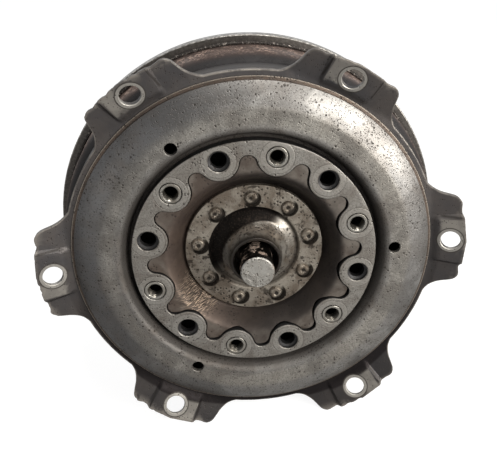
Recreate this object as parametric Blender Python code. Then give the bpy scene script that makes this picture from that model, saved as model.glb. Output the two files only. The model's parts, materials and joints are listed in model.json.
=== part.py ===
"""Car torque converter, standing on its edge with the engine side facing -Y.

Metres, +Z up. The spin axis is Y, and the origin is the centre of the crank spigot's end face.
Outlines of turned pieces are (radius, y) points, and flat outlines are (x, z) points.
"""
import math

import bmesh
import bpy
from mathutils import Matrix, Vector

for old in list(bpy.data.objects):
    bpy.data.objects.remove(old)

SEAT = 0.0003  # gap between pieces that bear on each other

# Crank spigot and hub flange
SPIGOT_R = 0.0108
SPIGOT_REACH = 0.0213  # how far its end stands ahead of the bolt ring's face
SPIGOT_CHAMFER = 0.0009
SPIGOT_BASE_R = 0.0190
SPIGOT_BASE_T = 0.0022
HUB_CLEARANCE = 0.0038  # between the spigot and the hub's bore
HUB_LIP_W = 0.0019
HUB_LIP_PROUD = 0.0055  # ahead of the bolt ring's face
HUB_CONE_W = 0.0038
HUB_CONE_RISE = 0.0047  # ahead of the hub flange's face
HUB_FOOT_W = 0.0077
HUB_GROOVE_W = 0.0014
HUB_GROOVE_DEPTH = 0.0022
HUB_FLANGE_T = 0.0040
RIVET_COUNT = 9
RIVET_SETBACK = 0.0092  # of the rivets' circle from the hub's foot
RIVET_EDGE = 0.0086  # from the rivets' circle to the flange's edge
RIVET_SHANK_R = 0.0030
RIVET_HEAD_R = 0.0047
RIVET_HEAD_T = 0.0020
RIVET_DIMPLE_R = 0.0028
RIVET_DIMPLE = 0.0009

# Inner drive plate and bolt ring
BOLT_COUNT = 12
BOLT_RING_EDGE = 0.0098  # from the bolt circle to the ring's edge
BOLT_RING_T = 0.0080
LOBE_R = 0.0125
POCKET_INSET = 0.0054  # of the pockets' centres from the bolt circle
FINGER_GAP = 0.0005
FINGER_SETBACK = 0.0013
INNER_PLATE_T = 0.0040
INNER_PLATE_FLAT_EDGE = 0.0007  # past the hub flange
INNER_PLATE_RISE_W = 0.0090
INNER_PLATE_BAND = 0.0020  # between its rise and the lobes
INNER_PLATE_BEND_R = 0.0030
INNER_PLATE_CLEARANCE = 0.0030  # to the cover behind it
COUNTERBORE_R = 0.00685
COUNTERBORE_DEPTH = 0.0028
BOLT_HOLE_R = 0.0052
SLEEVE_R = 0.00685
SLEEVE_BORE_R = 0.00425

# Drive flange with its ears
EAR_COUNT = 6
EAR_PROUD = 0.0040  # of the ears' bolt circle outside the cover
EAR_EDGE = 0.0100  # from the bolt circle to the ear's tip
EAR_LEAN = 21  # degrees towards the engine
EAR_TIP_HALF_W = 0.0301
EAR_ROOT_HALF_W = 0.0345
EAR_CORNER_R = 0.0060
EAR_FILLET_R = 0.0120
EAR_HOLE_R = 0.0065
FLANGE_LIP = 0.0036  # outside the dome's wall, between the ears
FLANGE_LAP = 0.0100  # under the dome
FLANGE_T = 0.0040
FLANGE_SETBACK = 0.0059
PAD_RISE = 0.0024
PAD_HALF_W = 0.0155
PAD_SIDE_W = 0.0060
PAD_RAMP = 0.0036  # length of the slope at the pad's inner end

# Domed plate, between the bolt ring and the ears
DOME_INSET = 0.0120  # of its wall from the ears' bolt circle
DOME_T = 0.0035
DOME_LAP = 0.0033  # under the bolt ring
DOME_SLOPE_SHARE = 0.183  # of the width between the bolt ring and the wall
DOME_HOLE_SHARE = 0.306
DOME_CROWN_SHARE = 0.503  # to where the crown bends down to its edge
DOME_CREST = 0.0098  # crown height above the drive flange's face
DOME_STEPS = 5
DOME_HOLE_R = 0.0040
DOME_HOLE_COUNT = 3

# Cover, skirt ring and impeller shell
SKIRT_STEP = 0.0035  # of its outside from the dome's wall
SKIRT_T = 0.0045
COVER_SETBACK = 0.0240
COVER_R = 0.1260
COVER_T = 0.0045
COVER_CORNER_R = 0.0100
RIM_PROUD = 0.0060  # outside the cover
RIM_LAP = 0.0043  # how far the cover's edge enters the rim
RIM_W = 0.0100
WELD_W = 0.0025
SHELL_T = 0.0035

# Torus of the impeller and the turbine
TORUS_EDGE = 0.0035  # between the cover's wall and the torus
TORUS_BEHIND_COVER = 0.0050
IMPELLER_DEPTH = 0.0260
TURBINE_DEPTH = 0.0220
TURBINE_TIP_GAP = 0.0006
TURBINE_SHELL_T = 0.0018
SHELL_RIM_ANGLE = 18  # degrees round the torus at which its shell leaves the rim
FLAT_ANGLE = 135  # to the flat middle of both shells
CORE_SHARE = 0.44  # height of the core ring's section over the torus's
CORE_DEPTH = 0.0110
CORE_T = 0.0012
VANE_T = 0.0012
VANE_EDGE_GAP = 0.0014  # between the vanes and the faceted shell
VANE_FIRST_ANGLE = 8
VANE_LAST_ANGLE = 128
IMPELLER_VANES = 13
IMPELLER_VANE_SWEEP = 10
TURBINE_VANES = 11
TURBINE_VANE_SWEEP = -26

# Impeller hub and turbine hub
NECK_R = 0.0220
NECK_BORE_R = 0.0175
NECK_LENGTH = 0.0411
HUB_DISC_EDGE = 0.0032  # past the thrust bearing
HUB_DISC_T = 0.0049
SLOT_W = 0.0090
SLOT_DEPTH = 0.0090
TURBINE_BORE_R = 0.0123
TURBINE_HUB_WALL = 0.0077
TURBINE_NOSE_R = 0.0260
TURBINE_NOSE = 0.0032  # between the driven plate and the hub's disc
TURBINE_DISC_R = 0.0460
TURBINE_DISC_T = 0.0038
TURBINE_PILOT_R = 0.0297
SPLINE_TEETH = 12
SPLINE_DEPTH = 0.0010
SEAL_W = 0.0014
SEAL_DEPTH = 0.0011
THRUST_WASHER_T = 0.0017

# Lock-up piston and damper
PISTON_TRAVEL = 0.0012
PISTON_CLEARANCE = 0.0080  # to the cover's wall
PISTON_T = 0.0025
PISTON_CORNER_R = 0.0040
PISTON_LIP = 0.0089
PISTON_COLLAR = 0.0069
LINING_EDGE = 0.0025  # from the piston's edge
LINING_W = 0.0150
LINING_T = 0.0015
DAMPER_SPRINGS = 4
SPRING_INSET_SHARE = 0.588  # of the torus's half height
SPRING_R = 0.0048
SPRING_WIRE_R = 0.0010
SPRING_TURNS = 5
SPRING_HALF_ANGLE = 22.5
RETAINER_LIP = 0.0120  # inside the springs' circle
RETAINER_CLEARANCE = 0.0007  # between its wall and the springs
RETAINER_T = 0.0015
RETAINER_WALL = 0.0070
DRIVEN_PLATE_INSET = 0.0070
DRIVEN_PLATE_T = 0.0018
ARM_REACH = 0.0040  # past the middle of the springs
ARM_HALF_W = 0.0200

# Stator, one-way clutch and thrust bearings
INNER_RACE_R = 0.0240
INNER_RACE_BORE_R = 0.0166
RACE_W = 0.0170
ROLLER_COUNT = 6
ROLLER_R = 0.0027
OUTER_RACE_T = 0.0057
STATOR_HUB_T = 0.0120
STATOR_HUB_W = 0.0210
STATOR_CLEARANCE = 0.0020  # from its hub to the torus
STATOR_VANES = 9
VANE_OUTLINE = ((0, 0.0014), (0.3, 0.0024), (1, 0.0005), (1, -0.0005), (0.3, -0.0024), (0, -0.0014))
VANE_CAMBER = 0.55  # sideways reach of the tail over the chord
VANE_CAMBER_POWER = 1.6
VANE_CHORD_SHARE = 0.9  # of the shroud's width
VANE_OFFSET_SHARE = 0.2
SHROUD_CLEARANCE = 0.0050  # from the core rings
SHROUD_T = 0.0020
SHROUD_W = 0.0150
CLUTCH_WASHER_T = 0.0017
BEARING_CLEARANCE = 0.0005  # outside the inner race
BEARING_W = 0.0100
NEEDLE_R = 0.0009
NEEDLES = 8
BEARING_RACE_T = 0.0010
BEARING_SPACER_T = 0.0021

# Radii that follow from the others
HUB_BORE_R = SPIGOT_R + HUB_CLEARANCE
HUB_LIP_R = HUB_BORE_R + HUB_LIP_W
HUB_CONE_R = HUB_LIP_R + HUB_CONE_W
HUB_SHOULDER_R = HUB_CONE_R + HUB_FOOT_W
RIVET_CIRCLE_R = HUB_SHOULDER_R + RIVET_SETBACK
HUB_FLANGE_R = RIVET_CIRCLE_R + RIVET_EDGE
INNER_PLATE_FLAT_R = HUB_FLANGE_R + INNER_PLATE_FLAT_EDGE
INNER_PLATE_RISE_R = INNER_PLATE_FLAT_R + INNER_PLATE_RISE_W
BOLT_CIRCLE_R = INNER_PLATE_RISE_R + INNER_PLATE_BAND + LOBE_R
BOLT_RING_R = BOLT_CIRCLE_R + BOLT_RING_EDGE
EAR_CIRCLE_R = COVER_R + EAR_PROUD
DOME_R = EAR_CIRCLE_R - DOME_INSET
DOME_W = DOME_R - BOLT_RING_R
FLANGE_R = DOME_R + FLANGE_LIP
SKIRT_R = DOME_R + SKIRT_STEP
RIM_R = COVER_R + RIM_PROUD
ROLLER_CIRCLE_R = INNER_RACE_R + SEAT + ROLLER_R
OUTER_RACE_BORE_R = ROLLER_CIRCLE_R + ROLLER_R + SEAT
OUTER_RACE_R = OUTER_RACE_BORE_R + OUTER_RACE_T
STATOR_BORE_R = OUTER_RACE_R + SEAT
STATOR_HUB_R = STATOR_BORE_R + STATOR_HUB_T
TORUS_OUTER_R = COVER_R - COVER_T - TORUS_EDGE
TORUS_INNER_R = STATOR_HUB_R + STATOR_CLEARANCE
TORUS_R = (TORUS_OUTER_R + TORUS_INNER_R) / 2
TORUS_HALF_H = (TORUS_OUTER_R - TORUS_INNER_R) / 2
TURBINE_HALF_H = TORUS_HALF_H - TURBINE_TIP_GAP - TURBINE_SHELL_T
CORE_HALF_H = TORUS_HALF_H * CORE_SHARE
SHROUD_R = TORUS_R - CORE_HALF_H - SHROUD_CLEARANCE - SHROUD_T
BEARING_INNER_R = INNER_RACE_R + BEARING_CLEARANCE
BEARING_OUTER_R = BEARING_INNER_R + BEARING_W
HUB_DISC_R = BEARING_OUTER_R + HUB_DISC_EDGE
TURBINE_HUB_R = TURBINE_BORE_R + TURBINE_HUB_WALL
PISTON_R = COVER_R - COVER_T - PISTON_CLEARANCE
LINING_OUTER_R = PISTON_R - LINING_EDGE
SPRING_CIRCLE_R = TORUS_R - TORUS_HALF_H * SPRING_INSET_SHARE
RETAINER_R = SPRING_CIRCLE_R + SPRING_R + RETAINER_CLEARANCE + RETAINER_T
DRIVEN_PLATE_R = SPRING_CIRCLE_R - DRIVEN_PLATE_INSET

# Stations along the axis, from the spigot's end face
BOLT_FACE = SPIGOT_REACH
BOLT_BACK = BOLT_FACE + BOLT_RING_T
FLANGE_FACE = BOLT_FACE + FLANGE_SETBACK
FLANGE_BACK = FLANGE_FACE + FLANGE_T
COVER_FACE = BOLT_FACE + COVER_SETBACK
COVER_INSIDE = COVER_FACE + COVER_T
INNER_PLATE_FLAT = COVER_FACE - INNER_PLATE_CLEARANCE - INNER_PLATE_T
HUB_BACK = INNER_PLATE_FLAT - SEAT
HUB_FACE = HUB_BACK - HUB_FLANGE_T
TURBINE_HUB_FACE = COVER_INSIDE + 2 * SEAT + THRUST_WASHER_T
LINING_FACE = COVER_INSIDE + SEAT + PISTON_TRAVEL
PISTON_FACE = LINING_FACE + LINING_T + SEAT
PISTON_BACK = PISTON_FACE + PISTON_T
RETAINER_FACE = PISTON_BACK + SEAT
RETAINER_BACK = RETAINER_FACE + RETAINER_T
SPRING_Y = RETAINER_BACK + SEAT + SPRING_R
DRIVEN_FACE = SPRING_Y - DRIVEN_PLATE_T / 2
TURBINE_DISC_FACE = DRIVEN_FACE + DRIVEN_PLATE_T + SEAT + TURBINE_NOSE
TURBINE_DISC_BACK = TURBINE_DISC_FACE + TURBINE_DISC_T
TURBINE_FLAT = TURBINE_DISC_BACK + SEAT + TURBINE_SHELL_T
TORUS_Y = TURBINE_FLAT + TURBINE_DEPTH * math.sin(math.radians(FLAT_ANGLE))
COVER_BACK = TORUS_Y - TORUS_BEHIND_COVER
RIM_FACE = COVER_BACK - RIM_LAP
SHELL_FLAT = TORUS_Y + IMPELLER_DEPTH * math.sin(math.radians(FLAT_ANGLE))
NECK_FACE = SHELL_FLAT + SHELL_T - HUB_DISC_T
NECK_END = NECK_FACE + HUB_DISC_T + NECK_LENGTH

# Chain of thrust pieces, from the impeller hub forwards
REAR_RACE_BACK = NECK_FACE - SEAT
REAR_NEEDLES_BACK = REAR_RACE_BACK - BEARING_SPACER_T - SEAT
REAR_WASHER_BACK = REAR_NEEDLES_BACK - 2 * NEEDLE_R - SEAT
RACE_BACK = REAR_WASHER_BACK - CLUTCH_WASHER_T - SEAT
RACE_FACE = RACE_BACK - RACE_W
FRONT_WASHER_FACE = RACE_FACE - SEAT - CLUTCH_WASHER_T
FRONT_NEEDLES_FACE = FRONT_WASHER_FACE - SEAT - 2 * NEEDLE_R
FRONT_RACE_FACE = FRONT_NEEDLES_FACE - SEAT - BEARING_RACE_T
TURBINE_PILOT_END = FRONT_RACE_FACE - SEAT


def polar(radius, degrees):
    """Point of the (x, z) plane."""
    angle = math.radians(degrees)
    return radius * math.cos(angle), radius * math.sin(angle)


def angles(count, first=0.0):
    return [first + 360 * i / count for i in range(count)]


def circle(radius, steps):
    return [polar(radius, angle) for angle in angles(steps)]


def arc(centre, radius, first, last, steps):
    return [(centre[0] + x, centre[1] + y) for x, y in
            (polar(radius, first + (last - first) * i / steps) for i in range(steps + 1))]


def rounded(points, radii, steps=2):
    """Open path with its inner corners turned into arcs; a radius of 0 leaves a corner sharp."""
    path = [points[0]]
    for i, radius in enumerate(radii, 1):
        corner = Vector(points[i])
        before = (Vector(points[i - 1]) - corner).normalized()
        after = (Vector(points[i + 1]) - corner).normalized()
        if radius == 0:
            path.append(tuple(corner))
            continue
        half = before.angle(after) / 2
        centre = corner + (before + after).normalized() * radius / math.sin(half)
        start = corner + before * radius / math.tan(half) - centre
        sweep = start.angle_signed(corner + after * radius / math.tan(half) - centre)
        for k in range(steps + 1):
            turn = Matrix.Rotation(-sweep * k / steps, 2)
            path.append(tuple(centre + turn @ start))
    path.append(points[-1])
    return path


def sheet(path, thickness):
    """Closed outline of sheet metal whose thickness lies to the left of the path."""
    points = [Vector(p) for p in path]
    other = []
    for i, point in enumerate(points):
        ahead = (points[min(i + 1, len(points) - 1)] - points[min(i, len(points) - 2)]).normalized()
        behind = (points[max(i, 1)] - points[max(i - 1, 0)]).normalized()
        normal = Vector((-ahead.y - behind.y, ahead.x + behind.x)).normalized()
        mitre = normal.dot(Vector((-ahead.y, ahead.x)))
        other.append(tuple(point + normal * thickness / mitre))
    return list(path) + other[::-1]


def torus_arc(half_height, depth, first, last, steps):
    """Points of the ellipse that shells, vanes and core rings follow, behind the torus plane."""
    points = []
    for i in range(steps + 1):
        angle = math.radians(first + (last - first) * i / steps)
        points.append((TORUS_R + half_height * math.cos(angle), TORUS_Y + depth * math.sin(angle)))
    return points


def finish(colour, roughness, metallic=1.0):
    return {"colour": colour, "roughness": roughness, "metallic": metallic}


PITTED_STEEL = finish((0.33, 0.32, 0.31), 0.55)
DARK_STEEL = finish((0.09, 0.09, 0.095), 0.50)
OILY_STEEL = finish((0.11, 0.085, 0.07), 0.45)
RUSTY_STEEL = finish((0.19, 0.13, 0.10), 0.60)
BRIGHT_STEEL = finish((0.55, 0.55, 0.56), 0.30)
PLAIN_STEEL = finish((0.40, 0.40, 0.41), 0.40)
CAST_ALUMINIUM = finish((0.62, 0.62, 0.63), 0.45)
FRICTION_PAPER = finish((0.16, 0.12, 0.08), 0.90, 0.0)
SEAL_PLASTIC = finish((0.08, 0.08, 0.08), 0.60, 0.0)


def make_object(name, bm, look, axis=None):
    """Gives a closed mesh its name, its finish and the empty on whose axis it turns."""
    bmesh.ops.recalc_face_normals(bm, faces=bm.faces)
    mesh = bpy.data.meshes.new(name)
    bm.to_mesh(mesh)
    bm.free()
    mesh.shade_smooth()
    mesh.set_sharp_from_angle(angle=math.radians(35))
    material = bpy.data.materials.new(name)
    material.use_nodes = True
    shader = material.node_tree.nodes["Principled BSDF"]
    shader.inputs["Base Color"].default_value = (*look["colour"], 1)
    shader.inputs["Roughness"].default_value = look["roughness"]
    shader.inputs["Metallic"].default_value = look["metallic"]
    mesh.materials.append(material)
    piece = bpy.data.objects.new(name, mesh)
    bpy.context.collection.objects.link(piece)
    piece.parent = axis
    return piece


def copies(first, name, places):
    """More pieces like the first one, each set at its own place."""
    for number, (x, z) in enumerate(places, 1):
        piece = first
        if number > 1:
            piece = bpy.data.objects.new(f"{name}_{number}", first.data)
            bpy.context.collection.objects.link(piece)
            piece.parent = first.parent
        piece.location = (x, 0, z)
    first.name = f"{name}_1"


def turned_mesh(section, steps, bm=None, place=(0, 0)):
    """Spins a closed (radius, y) outline round the Y axis; an edge on the axis isn't spun."""
    bm = bm or bmesh.new()
    verts = [bm.verts.new((radius, y, 0)) for radius, y in section]
    edges = [bm.edges.new((a, b)) for a, b in zip(verts, verts[1:] + verts[:1]) if a.co.x + b.co.x > 0]
    before = set(bm.verts) - set(verts)
    bmesh.ops.spin(bm, geom=verts + edges, cent=(0, 0, 0), axis=(0, 1, 0), dvec=(0, 0, 0),
                   angle=2 * math.pi, steps=steps, use_merge=True)
    new = [v for v in bm.verts if v not in before]
    bmesh.ops.remove_doubles(bm, verts=new, dist=1e-6)
    new = [v for v in bm.verts if v not in before]
    bmesh.ops.translate(bm, verts=new, vec=(place[0], 0, place[1]))
    return bm


def turned(name, section, steps, look, axis=None):
    return make_object(name, turned_mesh(section, steps), look, axis)


def ring(name, inner, outer, near, far, steps, look, axis=None):
    section = [(inner, near), (outer, near), (outer, far), (inner, far)]
    return turned(name, section, steps, look, axis)


def plate_mesh(outlines, near, far):
    """Flat plate between two stations; the first outline is its edge, the others are holes."""
    bm = bmesh.new()
    for outline in outlines:
        verts = [bm.verts.new((x, near, z)) for x, z in outline]
        for a, b in zip(verts, verts[1:] + verts[:1]):
            bm.edges.new((a, b))
    bmesh.ops.triangle_fill(bm, edges=bm.edges, use_beauty=True, normal=(0, 1, 0))
    raised = bmesh.ops.extrude_face_region(bm, geom=bm.faces[:])["geom"]
    bmesh.ops.translate(bm, vec=(0, far - near, 0),
                        verts=[v for v in raised if isinstance(v, bmesh.types.BMVert)])
    return bm


def plate(name, outlines, near, far, look, axis=None):
    return make_object(name, plate_mesh(outlines, near, far), look, axis)


def loft(bm, sections, closed=False):
    """Skins a row of closed sections, each a list of points, and caps its ends if it is open.

    Both faces of a thin section are split along like diagonals, so that they stay apart.
    """
    rows = [[bm.verts.new(point) for point in section] for section in sections]
    following = rows[1:] + rows[:1] if closed else rows[1:]
    for row, after in zip(rows, following):
        for i in range(len(row)):
            corners = [row[i - 1], row[i], after[i], after[i - 1]]
            if i >= len(row) / 2:
                corners = corners[1:] + corners[:1]
            bm.faces.new(corners[:3])
            bm.faces.new((corners[0], corners[2], corners[3]))
    if not closed:
        bm.faces.new(rows[0])
        bm.faces.new(rows[-1])
    return bm


def guide(name, bm):
    """A hidden shape that a Boolean of another piece uses."""
    shape = make_object(name, bm, PLAIN_STEEL)
    shape.hide_render = True
    shape.display_type = "WIRE"
    return shape


def combine(piece, bm, operation):
    step = piece.modifiers.new(operation.lower(), "BOOLEAN")
    step.operation = operation
    step.solver = "EXACT"
    step.object = guide(f"{piece.name}_{operation.lower()}_{len(piece.modifiers)}", bm)
    return piece


def drill(piece, section, places, steps=8):
    """Cuts a turned section out of a piece at each place."""
    bm = bmesh.new()
    for place in places:
        turned_mesh(section, steps, bm, place)
    return combine(piece, bm, "DIFFERENCE")


def hole(radius, near, far):
    """Section of a drill that reaches past both faces."""
    reach = 0.001
    return [(0, near - reach), (radius, near - reach), (radius, far + reach), (0, far + reach)]


def spline(bore, teeth, near, far):
    """Star-shaped cutter that leaves internal spline teeth in a bore."""
    root = bore + SPLINE_DEPTH
    outline = []
    for angle in angles(teeth):
        pitch = 360 / teeth
        outline += [polar(bore - SEAT, angle), polar(bore - SEAT, angle + pitch * 0.4),
                    polar(root, angle + pitch * 0.55), polar(root, angle + pitch * 0.85)]
    return plate_mesh([outline], near - SPLINE_DEPTH, far + SPLINE_DEPTH)


def crank_spigot(axis):
    back = COVER_FACE - SEAT
    base = back - SPIGOT_BASE_T
    section = [(0, 0), (SPIGOT_R - SPIGOT_CHAMFER, 0), (SPIGOT_R, SPIGOT_CHAMFER),
               (SPIGOT_R, base), (SPIGOT_BASE_R, base), (SPIGOT_BASE_R, back), (0, back)]
    turned("crank_spigot", section, 24, BRIGHT_STEEL, axis)


def hub_flange(axis):
    lip = BOLT_FACE - HUB_LIP_PROUD
    groove = HUB_SHOULDER_R + HUB_GROOVE_W
    section = [(HUB_BORE_R, lip), (HUB_LIP_R, lip), (HUB_CONE_R, HUB_FACE - HUB_CONE_RISE),
               (HUB_SHOULDER_R, HUB_FACE + HUB_GROOVE_DEPTH), (groove, HUB_FACE + HUB_GROOVE_DEPTH),
               (groove + HUB_GROOVE_DEPTH, HUB_FACE), (HUB_FLANGE_R, HUB_FACE),
               (HUB_FLANGE_R, HUB_BACK), (HUB_BORE_R, HUB_BACK)]
    flange = turned("hub_flange", section, 32, PITTED_STEEL, axis)
    drill(flange, hole(RIVET_SHANK_R + SEAT, HUB_FACE, HUB_BACK), rivet_places(), 8)


def rivet_places():
    return [polar(RIVET_CIRCLE_R, angle) for angle in angles(RIVET_COUNT, 90)]


def hub_rivets(axis):
    face = HUB_FACE - SEAT
    back = HUB_BACK + SEAT + INNER_PLATE_T + SEAT
    tail = COVER_FACE - 2 * SEAT
    section = [(0, face - RIVET_HEAD_T + RIVET_DIMPLE), (RIVET_DIMPLE_R, face - RIVET_HEAD_T),
               (RIVET_HEAD_R, face), (RIVET_SHANK_R, face), (RIVET_SHANK_R, back), (RIVET_HEAD_R, back),
               (0, tail)]
    first = turned("hub_rivet", section, 8, PITTED_STEEL, axis)
    copies(first, "hub_rivet", rivet_places())


def lobed_outline(gap):
    """Inner edge of the bolt ring, a lobe round each hole and a pocket between each two.

    With a gap it is the edge of the inner drive plate, whose fingers fill the pockets.
    """
    pitch = 360 / BOLT_COUNT
    hole_at = Vector(polar(BOLT_CIRCLE_R, 0))
    pocket_at = Vector(polar(BOLT_CIRCLE_R - POCKET_INSET, pitch / 2))
    pocket_r = (pocket_at - hole_at).length - LOBE_R
    bearing = math.degrees(math.atan2(pocket_at.y - hole_at.y, pocket_at.x - hole_at.x))
    outline = []
    for angle in angles(BOLT_COUNT, pitch / 2):
        lobe = arc(hole_at, LOBE_R + gap, 360 - bearing, bearing, 4)
        pocket = arc(pocket_at, pocket_r - gap, bearing - 180, 180 + pitch - bearing, 4)
        turn = Matrix.Rotation(math.radians(angle), 2)
        outline += [tuple(turn @ Vector(point)) for point in lobe + pocket[1:-1]]
    return outline


def inner_drive_plate(axis):
    near = BOLT_FACE + FINGER_SETBACK
    path = rounded([(SPIGOT_R + SEAT, INNER_PLATE_FLAT), (INNER_PLATE_FLAT_R, INNER_PLATE_FLAT),
                    (INNER_PLATE_RISE_R, near), (BOLT_RING_R, near)], [0, INNER_PLATE_BEND_R], 1)
    dish = turned("inner_drive_plate", sheet(path, INNER_PLATE_T), 28, OILY_STEEL, axis)
    back = INNER_PLATE_FLAT + INNER_PLATE_T
    star = plate_mesh([lobed_outline(FINGER_GAP)], near - FINGER_SETBACK, back + INNER_PLATE_T)
    combine(dish, star, "INTERSECT")
    drill(dish, hole(RIVET_SHANK_R + SEAT, INNER_PLATE_FLAT, back), rivet_places(), 8)


def bolt_places(first):
    pitch = 360 / BOLT_COUNT
    return [polar(BOLT_CIRCLE_R, angle) for angle in angles(BOLT_COUNT // 2, pitch * (first + 0.5))]


def bolt_ring(axis):
    body = plate("bolt_ring", [circle(BOLT_RING_R, 60), lobed_outline(0)], BOLT_FACE, BOLT_BACK,
                 PITTED_STEEL, axis)
    deep = hole(BOLT_HOLE_R, BOLT_FACE, BOLT_BACK)
    step = BOLT_FACE + COUNTERBORE_DEPTH
    stepped = [deep[0], (COUNTERBORE_R, deep[1][1]), (COUNTERBORE_R, step), (BOLT_HOLE_R, step),
               deep[2], deep[3]]
    drill(body, stepped, bolt_places(1), 12)
    drill(body, hole(SLEEVE_R + SEAT, BOLT_FACE, BOLT_BACK), bolt_places(0))


def bolt_sleeves(axis):
    section = [(SLEEVE_BORE_R, BOLT_FACE), (SLEEVE_R, BOLT_FACE), (SLEEVE_R, BOLT_BACK),
               (SLEEVE_BORE_R, BOLT_BACK)]
    first = turned("bolt_sleeve", section, 8, BRIGHT_STEEL, axis)
    copies(first, "bolt_sleeve", bolt_places(0))


def dome_plate(axis):
    lip = BOLT_BACK + SEAT
    foot = FLANGE_FACE - SEAT
    crest = FLANGE_FACE - DOME_CREST
    slope = BOLT_RING_R + 2 * SEAT
    crown_end = BOLT_RING_R + DOME_W * DOME_CROWN_SHARE
    inner_part = sheet([(BOLT_RING_R - DOME_LAP, lip), (slope + DOME_T / 2, lip),
                        (slope + DOME_W * DOME_SLOPE_SHARE, crest), (crown_end, crest)], DOME_T)
    reach, drop = DOME_R - crown_end, foot - crest
    bend_r = (reach ** 2 + drop ** 2) / (2 * drop)
    centre = (crown_end, crest + bend_r)
    edge = math.degrees(math.asin(reach / bend_r)) - 90
    foot_inside = math.degrees(math.acos((centre[1] - foot) / (bend_r - DOME_T))) - 90
    outer_part = arc(centre, bend_r, -90, edge, DOME_STEPS)
    outer_part += arc(centre, bend_r - DOME_T, foot_inside, -90, DOME_STEPS)
    dome = turned("dome_plate", inner_part[:3] + outer_part + inner_part[5:], 40, PITTED_STEEL, axis)
    circle_r = BOLT_RING_R + DOME_W * DOME_HOLE_SHARE
    places = [polar(circle_r, angle) for angle in angles(DOME_HOLE_COUNT)]
    drill(dome, hole(DOME_HOLE_R, crest, crest + DOME_T), places, 10)


def ear_columns():
    """(angle, edge radius, lean, raised) from an ear's middle to midway between two ears."""
    tip_r = EAR_CIRCLE_R + EAR_EDGE
    tip = math.degrees(math.asin(EAR_TIP_HALF_W / tip_r))
    root = math.degrees(math.asin(EAR_ROOT_HALF_W / FLANGE_R))
    crease = math.degrees(math.atan(PAD_HALF_W / EAR_CIRCLE_R))
    side = math.degrees(math.atan((PAD_HALF_W + PAD_SIDE_W) / EAR_CIRCLE_R))
    middle = 180 / EAR_COUNT
    path = rounded([polar(tip_r, side), polar(tip_r, tip), polar(FLANGE_R, root),
                    polar(FLANGE_R, middle)], [EAR_CORNER_R, EAR_FILLET_R], 2)
    edge = [(math.degrees(math.atan2(z, x)), math.hypot(x, z)) for x, z in path]
    columns = [(0, tip_r, 1, 1), (crease, tip_r, 1, 1)]
    for angle, radius in edge:
        columns.append((angle, radius, min((middle - angle) / (middle - root), 1), 0))
    return columns


def drive_flange(axis):
    """Ring whose ears lean towards the engine, each with a flat pad round its hole."""
    half = ear_columns()
    columns = [(-angle, *rest) for angle, *rest in half[-2:0:-1]] + half
    root = DOME_R + SEAT
    slope = math.tan(math.radians(EAR_LEAN))
    sections = []
    for ear in angles(EAR_COUNT):
        for angle, edge, lean, raised in columns:
            front = [(DOME_R - FLANGE_LAP, FLANGE_FACE), (root, FLANGE_FACE)]
            for radius in (min(root + PAD_RAMP, (root + edge) / 2), edge):
                out = max(radius * math.cos(math.radians(angle)) - root, 0)
                front.append((radius, FLANGE_FACE - lean * out * slope - raised * PAD_RISE))
            back = [(radius, y + FLANGE_T) for radius, y in reversed(front)]
            section = []
            for radius, y in front + back:
                x, z = polar(radius, ear + angle)
                section.append((x, y, z))
            sections.append(section)
    flange = make_object("drive_flange", loft(bmesh.new(), sections, closed=True), DARK_STEEL, axis)
    places = [polar(EAR_CIRCLE_R, angle) for angle in angles(EAR_COUNT)]
    ear_rise = (EAR_CIRCLE_R + EAR_EDGE - root) * slope + PAD_RISE
    drill(flange, hole(EAR_HOLE_R, FLANGE_FACE - ear_rise, FLANGE_BACK), places, 12)


def front_cover(axis):
    path = rounded([(0, COVER_FACE), (COVER_R, COVER_FACE), (COVER_R, COVER_BACK)],
                   [COVER_CORNER_R], 3)
    turned("front_cover", sheet(path, COVER_T), 40, RUSTY_STEEL, axis)


def impeller_shell(axis):
    rim_back = RIM_FACE + RIM_W
    seat_r = COVER_R + SEAT
    chamfer = RIM_W / 5
    outside = [(seat_r, RIM_FACE - WELD_W), (seat_r + WELD_W, RIM_FACE), (RIM_R, RIM_FACE),
               (RIM_R, rim_back - chamfer), (RIM_R - chamfer, rim_back),
               (TORUS_R + TORUS_HALF_H + 2 * SHELL_T, rim_back)]
    outer_d = IMPELLER_DEPTH + SHELL_T
    meets_flat = 180 - math.degrees(math.asin((SHELL_FLAT + SHELL_T - TORUS_Y) / outer_d))
    outside += torus_arc(TORUS_HALF_H + SHELL_T, outer_d, SHELL_RIM_ANGLE, meets_flat, 4)
    inside = torus_arc(TORUS_HALF_H, IMPELLER_DEPTH, FLAT_ANGLE, 0, 5)
    hub_r = HUB_DISC_R + SEAT
    section = outside + [(hub_r, SHELL_FLAT + SHELL_T), (hub_r, SHELL_FLAT)] + inside
    section += [(TORUS_OUTER_R, COVER_BACK + SEAT), (seat_r, COVER_BACK + SEAT)]
    turned("impeller_shell", section, 40, PLAIN_STEEL, axis)


def impeller_hub(axis):
    back = NECK_FACE + HUB_DISC_T
    step = NECK_R - NECK_BORE_R
    section = [(NECK_BORE_R, NECK_FACE), (HUB_DISC_R, NECK_FACE), (HUB_DISC_R, back),
               (NECK_R + step, back), (NECK_R, back + step), (NECK_R, NECK_END - SPIGOT_CHAMFER),
               (NECK_R - SPIGOT_CHAMFER, NECK_END), (NECK_BORE_R, NECK_END)]
    neck = turned("impeller_hub", section, 24, BRIGHT_STEEL, axis)
    slots = bmesh.new()
    bmesh.ops.create_cube(slots, size=1)
    size = Matrix.Diagonal((3 * NECK_R, 2 * SLOT_DEPTH, SLOT_W, 1))
    bmesh.ops.transform(slots, matrix=Matrix.Translation((0, NECK_END, 0)) @ size, verts=slots.verts)
    combine(neck, slots, "DIFFERENCE")


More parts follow.
